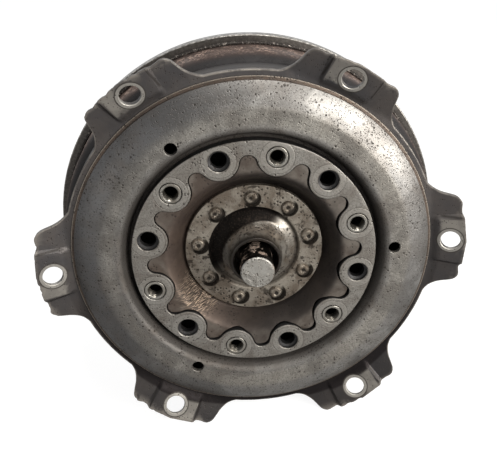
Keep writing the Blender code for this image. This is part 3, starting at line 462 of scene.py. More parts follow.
def settled(piece, sharp=32):
    """Bakes a piece's modifiers into its own mesh."""
    result = bpy.data.meshes.new_from_object(piece.evaluated_get(bpy.context.evaluated_depsgraph_get()))
    piece.modifiers.clear()
    piece.data = result
    result.name = piece.name
    result.shade_smooth()
    result.set_sharp_from_angle(angle=math.radians(sharp))


def bore(radius, near, far, chamfer):
    """Outline of a drill that leaves a chamfer at both faces of a plate."""
    out = chamfer + 0.0010
    return [(0, near - 0.001, 0), (radius + out, near - 0.001, 0), (radius, near + chamfer, 0),
            (radius, far - chamfer, 0), (radius + out, far + 0.001, 0), (0, far + 0.001, 0)]


def ring_places(count, radius, first=0.0):
    """(x, z) of places spaced evenly round the axis."""
    return [(radius * math.cos(first + 2 * math.pi * i / count),
        radius * math.sin(first + 2 * math.pi * i / count)) for i in range(count)]


ears, ear_circle, ear_tip_r = 6, 0.1300, 0.1400
tip_half, root_half = 0.0301, 0.0345
flange_r, flange_bore, flange_t = 0.1216, 0.1080, 0.0040
bend_r, ear_slope = 0.1183, math.tan(math.radians(21))
pad_rise, pad_half, pad_side = 0.0024, 0.0155, 0.0060
flange_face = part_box("drive_flange")[1].y - flange_t


def smooth(value, start, stop):
    """A soft step of a number between two limits."""
    share = min(max((value - start) / (stop - start), 0), 1)
    return share * share * (3 - 2 * share)


def ear_angle(angle):
    """Angle from the middle of the nearest ear, always positive."""
    pitch = 2 * math.pi / ears
    return abs((angle + pitch / 2) % pitch - pitch / 2)


ear_corners = [(ear_tip_r, 0.0), (ear_tip_r, math.asin(tip_half / ear_tip_r)),
               (flange_r, math.asin(root_half / flange_r)), (flange_r, math.pi / ears)]
ear_path = [Vector((r * math.cos(a), r * math.sin(a))) for r, a in ear_corners]
ear_edge = [(p[0], p[1], f) for p, f in zip(ear_path, (0, 0.0070, 0.0215, 0))]
ear_edge = [(math.atan2(z, x), math.hypot(x, z)) for x, z in softened(ear_edge, 14)]


def flange_edge(angle):
    """Radius of the flange's outline: a chipped tip with a hollow beside the pad, and a round root."""
    turn = ear_angle(angle)
    chips = max(noise.noise((angle * 40, 0.3, 7.0)) - 0.15, 0) * 0.0016 * smooth(turn, 0.235, 0.205)
    hollow = 0.0008 * smooth(turn, 0.118, 0.145) * smooth(turn, 0.200, 0.155)
    return max(ear_outline(turn), flange_r) - chips - hollow


def ear_outline(turn):
    """Radius of the plain outline at an angle from the ear's middle."""
    for (a, ra), (b, rb) in zip(ear_edge, ear_edge[1:]):
        if a <= turn <= b + 1e-9 and b > a:
            x0, z0, x1, z1 = ra * math.cos(a), ra * math.sin(a), rb * math.cos(b), rb * math.sin(b)
            if abs(ra - rb) < 1e-5:
                return ra
            cross = x0 * (z1 - z0) - z0 * (x1 - x0)
            return cross / (math.cos(turn) * (z1 - z0) - math.sin(turn) * (x1 - x0))
    return flange_r


def flange_front(angle, radius):
    """Height of the flange's face: the ears lean forward, and each has a pad in its middle."""
    turn = ear_angle(angle)
    crease, side = math.atan(pad_half / ear_circle), math.atan((pad_half + pad_side) / ear_circle)
    across = 1 - smooth(turn, crease, (crease + side) / 2)
    inward = smooth(radius, bend_r, bend_r + 0.0056)
    ear_root = math.asin(root_half / flange_r)
    lean = min((math.pi / ears - turn) / (math.pi / ears - ear_root), 1)
    out = radius * math.cos(turn) - bend_r
    if abs(out) < 0.0015:
        out = (out + 0.0015) ** 2 / 0.0060
    chip = noise.noise((radius * 300, angle * 60, 2.0)) * 0.00012
    return flange_face - lean * max(out, 0) * ear_slope - pad_rise * across * inward + chip


drive_flange = pressed("eared_flange", lambda angle: flange_bore, flange_edge, flange_front, flange_t,
                       columns=720, rows=22, edge=0.0006)
cut(drive_flange, bore(0.0065, 0, flange_t * 0.93, 0.0004), ring_places(ears, ear_circle),
    start=flange_face - (ear_circle - bend_r) * ear_slope - pad_rise, lean=math.atan(ear_slope))

# Distance from the nearest of several places spaced round the axis, such as bolt holes.
nearest_group, given, nearest_out = shader_group(
    "nearest_place", {"Vector": None, "Count": 6.0, "Circle": 0.13, "First": 0.0, "Stretch": 1.0},
    ["Distance", "Across", "Radius", "Below"])
along = axes(nearest_group, given["Vector"])
from_axis = calc(nearest_group, "SQRT", plus(nearest_group, times(nearest_group, along["X"], along["X"]),
    times(nearest_group, along["Z"], along["Z"])))
turns = calc(nearest_group, "DIVIDE", calc(nearest_group, "ARCTAN2", along["Z"], along["X"]), 2 * math.pi)
turns = times(nearest_group, minus(nearest_group, turns, given["First"]), given["Count"])
folded = minus(nearest_group, calc(nearest_group, "FRACT", plus(nearest_group, turns, 100.5)), 0.5)
folded = times(nearest_group, calc(nearest_group, "DIVIDE", folded, given["Count"]), 2 * math.pi)
out_from = minus(nearest_group, times(nearest_group, from_axis, calc(nearest_group, "COSINE", folded)),
    given["Circle"])
out_from = times(nearest_group, out_from, given["Stretch"])
across = times(nearest_group, from_axis, calc(nearest_group, "SINE", folded))
away = calc(nearest_group, "SQRT", plus(nearest_group, times(nearest_group, out_from, out_from),
    times(nearest_group, across, across)))
nearest_group.links.new(away, nearest_out.inputs["Distance"])
nearest_group.links.new(across, nearest_out.inputs["Across"])
nearest_group.links.new(from_axis, nearest_out.inputs["Radius"])
middle = minus(nearest_group, calc(nearest_group, "ARCTAN2", along["Z"], along["X"]), folded)
beside = minus(nearest_group, along["X"], times(nearest_group, given["Circle"], calc(nearest_group,
    "COSINE", middle)))
above = minus(nearest_group, along["Z"], times(nearest_group, given["Circle"], calc(nearest_group, "SINE",
    middle)))
nearest_group.links.new(minus(nearest_group, times(nearest_group, beside, 0.6), times(nearest_group, above,
    0.8)), nearest_out.inputs["Below"])

flange_steel, tree, shader, place = metal("flange_phosphate", 0.55)
ear = group(tree, nearest_group, Vector=place, Count=6.0, Circle=ear_circle, Stretch=1.07)
scuffs = stains(tree, place, 70.0, 0.5, 0.10)
film = stains(tree, place, 22.0, 0.5, 0.2)
pits = pitting(tree, place, 850.0, 0.62, 0.7)
ragged = times(tree, minus(tree, put(tree, "ShaderNodeTexNoise", {"Vector": place, "Scale": 260.0,
    "Detail": 3.0}).outputs["Fac"], 0.5), 0.0060)
washer = times(tree, span(tree, ear["Distance"], 0.0087, 0.0083), span(tree, ear["Distance"], 0.0060,
    0.0066))
washer_line = times(tree, span(tree, ear["Distance"], 0.0095, 0.0090), span(tree, ear["Distance"], 0.0083,
    0.0087))
pad_worn = times(tree, span(tree, ear["Across"], 0.0158, 0.0146), span(tree, ear["Across"], 0.0030, 0.0075))
pad_worn = times(tree, pad_worn, span(tree, plus(tree, ear["Radius"], ragged), 0.1228, 0.1258))
pad_worn = times(tree, pad_worn, span(tree, scuffs, 0.0, 1.0, 0.70, 1.0))
tip_worn = times(tree, span(tree, ear["Radius"], 0.1330, 0.1385), span(tree, scuffs, 0.2, 0.7))
# Dark line along each pad's crease: painted shade in the fold.
crease = calc(tree, "ABSOLUTE", minus(tree, calc(tree, "ABSOLUTE", ear["Across"]), 0.0168))
crease = times(tree, span(tree, crease, 0.0009, 0.0003), span(tree, ear["Radius"], 0.1240, 0.1262))
rim_worn = times(tree, span(tree, ear["Distance"], 0.0071, 0.0067), span(tree, ear["Distance"], 0.0062,
    0.0065))
edge_worn = times(tree, put(tree, "ShaderNodeAttribute", attribute_name="edge").outputs["Fac"],
    span(tree, scuffs, 0.1, 0.9, 0.35, 1.0))
# Painted shade: the flange gets darker towards its lower side.
painted_low_shade = span(tree, axes(tree, place)["Z"], 0.020, -0.090)
# Painted shade on the pads' inner ramps on the lower side, where the lamps light them; it also lowers the
# specular there.
painted_ramp_shade = times(tree, span(tree, ear["Radius"], 0.1262, 0.1240), painted_low_shade)
colour = blend(tree, film, (0.058, 0.057, 0.062), (0.080, 0.071, 0.068))
colour = layered(tree, colour, [
    (painted_low_shade, 0.65, (0.020, 0.018, 0.019)),
    (tip_worn, 0.55, (0.200, 0.185, 0.170)),
    (pad_worn, 1, (0.225, 0.215, 0.200)),
    (painted_ramp_shade, 0.85, (0.016, 0.014, 0.015)),
    (crease, 1, (0.030, 0.027, 0.026)),
    (edge_worn, 1, (0.210, 0.195, 0.180)),
    (washer_line, 1, (0.050, 0.045, 0.042)),
    (washer, 1, (0.270, 0.262, 0.248)),
    (rim_worn, 1, (0.400, 0.390, 0.370)),
    (pits, 0.75, (0.022, 0.018, 0.016))])
paint(tree, shader, colour, span(tree, film, 0.0, 1.0, 0.40, 0.58))
tree.links.new(span(tree, painted_ramp_shade, 0.0, 1.0, 0.5, 0.05), shader.inputs["Specular IOR Level"])
relief(tree, shader, (film, 0.00012), (pits, -0.00010))
dressed(drive_flange, flange_steel, "dark_steel", "housing", "drive_flange")


# Domed plate: a ring pressed from 3.5 mm sheet that closes the space between the bolt ring
# and the ears. Bare steel, turned on its crown, pitted by rust, with three pin holes.
dome_low, dome_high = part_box("dome_plate")
dome_r, dome_t, dome_crest, dome_lip = 0.1180, 0.0035, dome_low.y, dome_high.y
ring_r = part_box("bolt_ring")[1].x
slope_foot, slope_top = ring_r + 0.0021, ring_r + 0.0066
crown_end = ring_r + 0.0192
dome_foot = flange_face - 0.0003
reach, drop = dome_r - crown_end, dome_foot - dome_crest
round_r = (reach ** 2 + drop ** 2) / (2 * drop)
ledge_r = dome_r - 0.0021
edge_y = dome_crest + round_r - math.sqrt(round_r ** 2 - (ledge_r - crown_end) ** 2)
inner_r = round_r - dome_t
inner_sweep = math.acos((round_r - drop) / inner_r)
dome_plate = turned("domed_ring", [(ring_r - 0.0033, dome_lip - dome_t, 0.0003),
    (slope_foot, dome_lip - dome_t, 0.0012), (slope_top, dome_crest, 0.0046), (crown_end + 0.0014,
    dome_crest, 0.0110), (crown_end + 0.0104, dome_crest + 0.0025, 0.0340), (ledge_r, edge_y, 0.0003),
    (ledge_r + 0.0001, dome_foot - 0.0008, 0.0002), (dome_r, dome_foot - 0.0005, 0.0002),
    (dome_r, dome_foot, 0), (crown_end + inner_r * math.sin(inner_sweep), dome_foot, 0),
    (crown_end + inner_r * math.tan(inner_sweep / 2), dome_crest + dome_t, inner_r * 0.998),
    (slope_top + 0.0016, dome_crest + dome_t, 0.0020), (slope_foot + 0.0021, dome_lip, 0.0030),
    (ring_r - 0.0033, dome_lip, 0.0003)], steps=240)
cut(dome_plate, bore(0.0040, dome_crest, dome_crest + dome_t, 0.0003), ring_places(3, ring_r + 0.0117))

dome_steel, tree, shader, place = metal("dome_bare_steel", 0.80)
marks = group(tree, marks_group, Vector=place, Pitch=1100.0)
clouds = stains(tree, place, 14.0, 0.42, 0.2)
brown = stains(tree, place, 42.0, 0.36, 0.16)
fine = pitting(tree, place, 1050.0, 0.80, 0.9)
coarse = pitting(tree, place, 560.0, 0.57, 0.8)
grain = put(tree, "ShaderNodeTexNoise", {"Vector": place, "Scale": 900.0, "Detail": 3.0,
    "Roughness": 0.7}).outputs["Fac"]
ledge = span(tree, marks["Radius"], ledge_r - 0.0002, ledge_r + 0.0001)
ledge_line = span(tree, marks["Radius"], dome_r - 0.0007, dome_r - 0.0003)
# Dirt and painted shade in the groove at the slope's foot, beside the bolt ring.
foot = span(tree, plus(tree, marks["Radius"], times(tree, grain, 0.0016)), slope_top + 0.0026,
    slope_top - 0.0022)
smudge = stains(tree, place, 30.0, 0.50, 0.06)
split = axes(tree, place)
spokes = put(tree, "ShaderNodeCombineXYZ", {0: times(tree, calc(tree, "DIVIDE", split["X"],
    marks["Radius"]), 130.0), 1: times(tree, calc(tree, "DIVIDE", split["Z"], marks["Radius"]), 130.0),
    2: times(tree, marks["Radius"], 60.0)}).outputs[0]
brushed = put(tree, "ShaderNodeTexNoise", {"Vector": spokes, "Scale": 1.0, "Detail": 3.0}).outputs["Fac"]
worn = times(tree, span(tree, marks["Radius"], slope_top + 0.001, slope_top + 0.006),
    span(tree, marks["Radius"], 0.104, 0.099))
colour = blend(tree, clouds, (0.390, 0.386, 0.380), (0.245, 0.246, 0.250))
colour = layered(tree, colour, [
    (worn, 0.60, (0.400, 0.382, 0.345)),
    (times(tree, worn, span(tree, brushed, 0.40, 0.75, 0.0, 0.5)), 1, (0.200, 0.190, 0.176))])
# Painted shade: the outer band turns darker and bluer towards the left, away from the key lamp.
toward_left = minus(tree, times(tree, split["Z"], 0.35), times(tree, split["X"], 0.94))
painted_left_shade = times(tree, span(tree, toward_left, 0.005, 0.085), span(tree, marks["Radius"], 0.0930, 0.1030, 0.25,
    1.0))
colour = blend(tree, times(tree, painted_left_shade, 0.72), colour, (0.066, 0.072, 0.086))
# Painted shade on the fillet at the top of the slope, where it dulls the lamps' highlight.
crest = times(tree, span(tree, marks["Radius"], slope_top + 0.0044, slope_top + 0.0012), span(tree, brown,
    0.0, 1.0, 0.55, 0.85))
colour = layered(tree, colour, [
    (crest, 1, (0.120, 0.112, 0.104)),
    (smudge, 0.45, (0.088, 0.084, 0.082)),
    (brown, 0.35, (0.150, 0.125, 0.105)),
    (ledge, 1, blend(tree, brown, (0.110, 0.082, 0.066), (0.060, 0.048, 0.042))),
    (ledge_line, 0.9, (0.300, 0.265, 0.230)),
    (foot, 0.80, (0.052, 0.045, 0.041)),
    (span(tree, grain, 0.62, 0.36, 0.0, 0.36), 1, (0.110, 0.104, 0.100)),
    (fine, 0.60, (0.060, 0.054, 0.050)),
    (coarse, 0.80, (0.030, 0.025, 0.022))])
tree.links.new(colour, shader.inputs["Base Color"])
rough = plus(tree, span(tree, grain, 0.3, 0.7, 0.42, 0.52), times(tree, fine, 0.2))
rough = plus(tree, rough, times(tree, calc(tree, "MAXIMUM", foot, crest), 0.24))
tree.links.new(rough, shader.inputs["Roughness"])
relief(tree, shader, (marks["Height"], 0.00003), (grain, 0.00004), (fine, -0.00008), (coarse, -0.00014))
dressed(dome_plate, dome_steel, "pitted_steel", "housing", "dome_plate")


# Inner drive plate: a dished star from 4 mm sheet. Its twelve fingers fill the pockets of the
# bolt ring, and old oil has baked brown on its slope, which is scratched at the lower left.
bolts, bolt_circle, lobe_r, pocket_circle = 12, 0.0700, 0.0125, 0.0646
finger_gap = 0.0005
plate_t, plate_rise_in, plate_rise_out = 0.0040, 0.0450, 0.0585
ring_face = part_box("bolt_ring")[0].y
finger_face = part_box("inner_drive_plate")[0].y
plate_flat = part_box("inner_drive_plate")[1].y - plate_t
half_pitch = math.pi / bolts
pocket_r = math.hypot(pocket_circle * math.cos(half_pitch) - bolt_circle,
                      pocket_circle * math.sin(half_pitch)) - lobe_r


def lobed(angle, gap):
    """Radius of the line that runs round the lobes of the bolt ring and out into its pockets."""
    turn = (angle + half_pitch * 2) % (2 * half_pitch) - half_pitch
    lobe, pocket = lobe_r + gap, pocket_r - gap
    side = bolt_circle * math.sin(turn)
    inner = bolt_circle * math.cos(turn) - math.sqrt(lobe ** 2 - side ** 2) if abs(side) < lobe else math.inf
    turn = half_pitch - abs(turn)
    side = pocket_circle * math.sin(turn)
    outer = pocket_circle * math.cos(turn) + math.sqrt(pocket ** 2 - side ** 2) if abs(side) < pocket else 0.0
    return inner if outer == 0.0 or inner < pocket_circle * math.cos(turn) * 0.93 else max(min(inner,
        outer), 0)


def star_edge(angle):
    """The gap is widened at the lower right of each finger, where its dark opening stands in for the fingers'
    shadow.
    """
    before, after = [Vector((math.cos(a), math.sin(a))) * lobed(a, finger_gap)
                     for a in (angle - 0.004, angle + 0.004)]
    along = (after - before).normalized()
    faces_below = along.y * 0.6 + along.x * 0.8
    return lobed(angle, finger_gap) - 0.0013 * smooth(faces_below, 0.0, 0.9)


def star_front(angle, radius):
    """Flat middle, a soft rise, and flat fingers a little behind the bolt ring's face."""
    rise = smooth(radius, plate_rise_in, plate_rise_out)
    return plate_flat + (finger_face - plate_flat) * rise


star_plate = pressed("star_plate", lambda angle: 0.0111, star_edge, star_front, plate_t,
                     columns=720, rows=40, edge=0.0005)

oiled, tree, shader, place = metal("oil_baked_steel", 0.62)
finger = group(tree, nearest_group, Vector=place, Count=12.0, Circle=0.0640)
marks = group(tree, marks_group, Vector=place, Pitch=1300.0)
film = stains(tree, place, 36.0, 0.52, 0.18)
pits = pitting(tree, place, 620.0, 0.58, 0.8)
blotch = stains(tree, place, 75.0, 0.48, 0.14)
tip = times(tree, span(tree, finger["Radius"], 0.0560, 0.0610), span(tree, film, 0.0, 1.0, 1.0, 0.45))
scratches = put(tree, "ShaderNodeTexNoise",
                {"Vector": put(tree, "ShaderNodeMapping",
                               {"Vector": place, "Rotation": (0, math.radians(38), 0),
                                "Scale": (260.0, 1.0, 3200.0)}).outputs[0],
                 "Scale": 1.0, "Detail": 1.0}).outputs["Fac"]
split = axes(tree, place)
near_x = plus(tree, split["X"], 0.0380)
near_z = plus(tree, split["Z"], 0.0265)
scratch_zone = span(tree, calc(tree, "SQRT", plus(tree, times(tree, near_x, near_x), times(tree, near_z,
    near_z))), 0.020, 0.008)
crossed = put(tree, "ShaderNodeTexNoise",
              {"Vector": put(tree, "ShaderNodeMapping",
                             {"Vector": place, "Rotation": (0, math.radians(-22), 0),
                              "Scale": (300.0, 1.0, 2600.0)}).outputs[0],
               "Scale": 1.0, "Detail": 1.0}).outputs["Fac"]
scored = calc(tree, "MAXIMUM", span(tree, scratches, 0.55, 0.66), span(tree, crossed, 0.58, 0.68))
scored = times(tree, scratch_zone, scored)
gouged = times(tree, scratch_zone, calc(tree, "MAXIMUM", span(tree, scratches, 0.48, 0.40),
    span(tree, crossed, 0.46, 0.38)))
colour = blend(tree, film, (0.050, 0.042, 0.038), (0.026, 0.022, 0.021))
colour = layered(tree, colour, [
    (span(tree, split["X"], 0.012, -0.050), 0.75, blend(tree, film, (0.150, 0.112, 0.092), (0.078, 0.058,
        0.050))),
    (tip, 0.9, blend(tree, blotch, (0.190, 0.172, 0.155), (0.092, 0.074, 0.063))),
    (scratch_zone, 0.35, (0.110, 0.090, 0.076)),
    (gouged, 0.95, (0.012, 0.010, 0.009)),
    (scored, 1, (0.50, 0.39, 0.30)),
    (pits, 0.7, (0.014, 0.012, 0.011))])
tree.links.new(colour, shader.inputs["Base Color"])
rough = plus(tree, span(tree, film, 0.0, 1.0, 0.32, 0.46), span(tree, finger["Radius"], 0.0490, 0.0560,
    0.0, 0.20))
tree.links.new(rough, shader.inputs["Roughness"])
relief(tree, shader, (film, 0.00010), (marks["Height"], 0.00003), (pits, -0.00010), (scored, -0.00005))
dressed(star_plate, oiled, "oily_steel", "housing", "inner_drive_plate")


# Hub flange: a turned ring whose raised cone guides the crankshaft's end over the spigot.
# Nine rivets hold it to the star plate. It is heavily pitted, with a recess round the cone.
hub_low, hub_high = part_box("hub_flange")
hub_lip, hub_back, hub_face = hub_low.y, hub_high.y, hub_high.y - 0.0040
hub_r, hub_bore = hub_high.x, 0.0146
recess = hub_face + 0.0022
hub_flange = turned("hub_ring", [
    (hub_bore, hub_lip, 0.0005), (0.0165, hub_lip, 0.0006), (0.0183, hub_lip + 0.0080, 0.0100),
    (0.0212, recess - 0.0050, 0.0080), (0.0276, recess, 0.0022), (0.0287, recess, 0.0006),
    (0.0306, hub_face, 0.0006), (hub_r, hub_face, 0.0006), (hub_r, hub_back, 0.0004),
    (hub_bore, hub_back, 0.0004)], steps=192)

hub_steel, tree, shader, place = metal("hub_pitted_steel", 0.72)
rivet = group(tree, nearest_group, Vector=place, Count=9.0, Circle=0.0372, First=0.25)
marks = group(tree, marks_group, Vector=place, Pitch=900.0)
film = stains(tree, place, 60.0, 0.50, 0.12)
black = stains(tree, place, 150.0, 0.30, 0.06)
pits = pitting(tree, place, 520.0, 0.70, 1.0)
fine = pitting(tree, place, 1200.0, 0.80, 0.8)
split = axes(tree, place)
# Painted shade: a black crescent on the upper left of the recess round the cone.
upper_left = minus(tree, times(tree, split["Z"], 0.8), times(tree, split["X"], 0.6))
off_x, off_z = minus(tree, split["X"], 0.0030), plus(tree, split["Z"], 0.0034)
off_centre = calc(tree, "SQRT", plus(tree, times(tree, off_x, off_x), times(tree, off_z, off_z)))
crescent = times(tree, span(tree, rivet["Radius"], 0.0309, 0.0304), span(tree, off_centre, 0.0236, 0.0250))
crescent = times(tree, crescent, span(tree, upper_left, -0.002, 0.010))
# Painted shade at the cone's mouth by the bore, and in the groove round the cone.
mouth = span(tree, rivet["Radius"], 0.0182, 0.0166)
cone = span(tree, rivet["Radius"], 0.0282, 0.0262)
groove = times(tree, span(tree, rivet["Radius"], 0.0264, 0.0280), span(tree, rivet["Radius"], 0.0306,
    0.0292))
# Painted shadow on the flange to the lower right of each rivet head.
shifted = minus(tree, rivet["Distance"], times(tree, calc(tree, "DIVIDE", rivet["Below"],
    rivet["Distance"]), 0.0016))
painted_rivet_shadow = times(tree, span(tree, shifted, 0.0062, 0.0055), span(tree, rivet["Below"], -0.0014, 0.0022))
colour = blend(tree, film, (0.300, 0.278, 0.245), (0.150, 0.125, 0.102))
colour = layered(tree, colour, [
    (cone, 1, blend(tree, film, (0.400, 0.385, 0.360), (0.225, 0.195, 0.165))),
    (painted_rivet_shadow, 0.97, (0.008, 0.007, 0.006)),
    (groove, 0.70, (0.030, 0.025, 0.022)),
    (crescent, 0.98, (0.007, 0.006, 0.006)),
    (mouth, 0.92, (0.014, 0.012, 0.011)),
    (black, 0.8, (0.028, 0.023, 0.020)),
    (fine, 0.5, (0.060, 0.048, 0.040)),
    (pits, 0.85, (0.020, 0.016, 0.014))])
tree.links.new(colour, shader.inputs["Base Color"])
rough = blend(tree, cone, (0.52, 0.52, 0.52), (0.30, 0.30, 0.30))
rough = plus(tree, rough, times(tree, calc(tree, "MAXIMUM", crescent, black), 0.35))
tree.links.new(rough, shader.inputs["Roughness"])
# Less specular where shade and shadow are painted.
painted_shade_mask = calc(tree, "MAXIMUM", crescent, painted_rivet_shadow)
tree.links.new(minus(tree, 0.5, times(tree, painted_shade_mask, 0.46)), shader.inputs["Specular IOR Level"])
relief(tree, shader, (marks["Height"], 0.00003), (fine, -0.00008), (pits, -0.00020))
dressed(hub_flange, hub_steel, "pitted_steel", "housing", "hub_flange")


# Rivets: nine steel rivets, set cold, with a tool mark in the middle of each head. Their heads
# are as pitted as the flange, with painted shade at their lower right and a painted shadow below.
def geometry_tree(name, inputs):
    """A geometry tree with its named inputs; it gives back the tree, its inputs and its output node."""
    made = bpy.data.node_groups.new(name, "GeometryNodeTree")
    made.interface.new_socket("Geometry", in_out="OUTPUT", socket_type="NodeSocketGeometry")
    made.interface.new_socket("Geometry", in_out="INPUT", socket_type="NodeSocketGeometry")
    for socket, kind in inputs.items():
        made.interface.new_socket(socket, in_out="INPUT", socket_type=kind)
    given = made.nodes.new("NodeGroupInput").outputs
    return made, given, made.nodes.new("NodeGroupOutput")


def close_tree(tree, given, out, geometry):
    """Realizes the instances, sets the material and sends the geometry out."""
    real = put(tree, "GeometryNodeRealizeInstances", {0: geometry})
    painted = put(tree, "GeometryNodeSetMaterial", {"Geometry": real.outputs[0],
        "Material": given["Material"]})
    tree.links.new(painted.outputs[0], out.inputs[0])


def grown(piece, tree, sharp=32, **values):
    """Runs a geometry tree on a piece and keeps the plain mesh that it makes."""
    modifier = piece.modifiers.new(tree.name, "NODES")
    modifier.node_group = tree
    for socket in tree.interface.items_tree:
        key = socket.name.replace(" ", "_")
        if socket.in_out == "INPUT" and key in values:
            modifier[socket.identifier] = values[key]
    settled(piece, sharp)
    return piece


round_tree, given, out = geometry_tree("pieces_round_the_axis", {
    "Count": "NodeSocketInt", "Circle": "NodeSocketFloat", "First": "NodeSocketFloat",
    "Wobble": "NodeSocketFloat", "Seed": "NodeSocketInt", "Material": "NodeSocketMaterial"})
points = put(round_tree, "GeometryNodePoints", {"Count": given["Count"]})
number = put(round_tree, "GeometryNodeInputIndex").outputs[0]
turn = plus(round_tree, given["First"], calc(round_tree, "DIVIDE", times(round_tree, number, 2 * math.pi),
    given["Count"]))
spot = put(round_tree, "ShaderNodeCombineXYZ", {0: times(round_tree, calc(round_tree, "COSINE", turn),
    given["Circle"]), 2: times(round_tree, calc(round_tree, "SINE", turn), given["Circle"])})
moved = put(round_tree, "GeometryNodeSetPosition", {"Geometry": points.outputs[0],
    "Position": spot.outputs[0]})
lean = put(round_tree, "FunctionNodeRandomValue", {"Seed": given["Seed"], 0: (-1.0, -40.0, -1.0),
    1: (1.0, 40.0, 1.0)}, data_type="FLOAT_VECTOR")
tilt = put(round_tree, "ShaderNodeVectorMath", {0: lean.outputs[0]}, operation="SCALE")
round_tree.links.new(given["Wobble"], tilt.inputs["Scale"])
set_down = put(round_tree, "GeometryNodeInstanceOnPoints",
               {"Points": moved.outputs[0], "Instance": given["Geometry"], "Rotation": tilt.outputs[0]})
close_tree(round_tree, given, out, set_down.outputs[0])

rivet_low, rivet_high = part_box("hub_rivet_1")
head_r, shank_r, head_t = 0.0047, 0.0030, 0.0020
head_face = rivet_low.y + head_t
rivet_tail = rivet_high.y
rivets = turned("hub_rivets", [
    (0, head_face - head_t + 0.0006, 0), (0.0012, head_face - head_t + 0.0006, 0.0004),
    (0.0019, head_face - head_t, 0.0004), (0.0036, head_face - head_t, 0.0010),
    (head_r - 0.0003, head_face - 0.0006, 0.0004), (head_r, head_face, 0), (shank_r, head_face, 0),
    (shank_r, rivet_tail - 0.0020, 0), (head_r, rivet_tail - 0.0020, 0.0003), (0.0030, rivet_tail, 0.0008),
    (0, rivet_tail, 0)], steps=40)

rivet_steel, tree, shader, place = metal("rivet_steel", 0.70)
rivet = group(tree, nearest_group, Vector=place, Count=9.0, Circle=0.0372, First=0.25)
film = stains(tree, place, 190.0, 0.55, 0.14)
pits = pitting(tree, place, 760.0, 0.85, 0.9)
flank = span(tree, rivet["Distance"], 0.0036, 0.0046)
dimple = span(tree, rivet["Distance"], 0.0018, 0.0010)
colour = blend(tree, film, (0.290, 0.262, 0.225), (0.120, 0.098, 0.078))
# Painted shade on the heads' lower right flanks and below them; the tool marks are darker too.
below = span(tree, rivet["Below"], 0.0012, 0.0030)
flank = times(tree, flank, span(tree, rivet["Below"], -0.0030, 0.0020, 0.15, 0.9))
dark = calc(tree, "MAXIMUM", calc(tree, "MAXIMUM", flank, dimple), below)
colour = layered(tree, colour, [
    (dark, 0.90, (0.012, 0.010, 0.009)),
    (pits, 0.8, (0.020, 0.016, 0.014))])
paint(tree, shader, colour, span(tree, film, 0.0, 1.0, 0.40, 0.58))
relief(tree, shader, (film, 0.00012), (pits, -0.00016))
grown(rivets, round_tree, Count=9, Circle=0.0372, First=math.pi / 2, Wobble=0.02, Seed=4,
    Material=rivet_steel)
dressed(rivets, rivet_steel, "rivet_steel", "housing", *[f"hub_rivet_{i}" for i in range(1, 10)])


# Bolt ring: an 8 mm plate with a lobe round each of its twelve holes. Six holes are
# counterbored and six hold sleeves. Bare steel, matt with fine rust pits.
ring_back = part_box("bolt_ring")[1].y
sleeve_r = 0.00685
bolt_ring = pressed("lobed_bolt_ring", lambda angle: lobed(angle, 0.0),
                    lambda angle: ring_r, lambda angle, radius: ring_face, ring_back - ring_face,
                    columns=720, rows=6, edge=0.0005)
cut(bolt_ring, [(0, ring_face - 0.001, 0), (0.0083, ring_face - 0.001, 0), (0.0068, ring_face + 0.0005, 0),
    (0.0068, ring_face + 0.0028, 0), (0.0052, ring_face + 0.0034, 0), (0.0052, ring_back + 0.001, 0),
    (0, ring_back + 0.001, 0)], ring_places(6, bolt_circle, math.radians(45)))
cut(bolt_ring, bore(sleeve_r + 0.0003, ring_face, ring_back, 0.0004), ring_places(6, bolt_circle,
    math.radians(15)))

ring_steel, tree, shader, place = metal("bolt_ring_steel", 0.72)
hole = group(tree, nearest_group, Vector=place, Count=12.0, Circle=bolt_circle, First=1 / 24)
film = stains(tree, place, 48.0, 0.45, 0.16)
fine = pitting(tree, place, 1300.0, 0.80, 0.85)
pits = pitting(tree, place, 620.0, 0.58, 0.8)
collar = times(tree, span(tree, hole["Distance"], 0.0112, 0.0106), span(tree, hole["Distance"], 0.0072,
    0.0078))
collar_line = times(tree, span(tree, hole["Distance"], 0.0114, 0.0110), span(tree, hole["Distance"],
    0.0105, 0.0109))
depth = axes(tree, place)["Y"]
# Painted shade on the walls below the ring's face: in the holes, the counterbores and round the lobes.
inside = span(tree, depth, ring_face + 0.0005, ring_face + 0.0011)
edge_worn = times(tree, put(tree, "ShaderNodeAttribute", attribute_name="edge").outputs["Fac"],
    span(tree, film, 0.1, 0.9, 0.25, 0.05))
grain = put(tree, "ShaderNodeTexNoise", {"Vector": place, "Scale": 800.0, "Detail": 3.0,
    "Roughness": 0.7}).outputs["Fac"]
colour = blend(tree, film, (0.300, 0.293, 0.278), (0.175, 0.160, 0.146))
colour = layered(tree, colour, [
    (span(tree, grain, 0.60, 0.36, 0.0, 0.50), 1, (0.095, 0.086, 0.078)),
    (collar, 0.45, (0.330, 0.322, 0.305)),
    (collar_line, 0.35, (0.055, 0.048, 0.043)),
    (edge_worn, 1, (0.300, 0.290, 0.275)),
    (inside, 0.92, (0.026, 0.027, 0.031)),
    (fine, 0.55, (0.055, 0.048, 0.044)),
    (pits, 0.8, (0.026, 0.021, 0.019))])
paint(tree, shader, colour, span(tree, film, 0.0, 1.0, 0.44, 0.58))
relief(tree, shader, (collar_line, -0.00010), (grain, 0.00006), (fine, -0.00007), (pits, -0.00014))
dressed(bolt_ring, ring_steel, "pitted_steel", "housing", "bolt_ring")


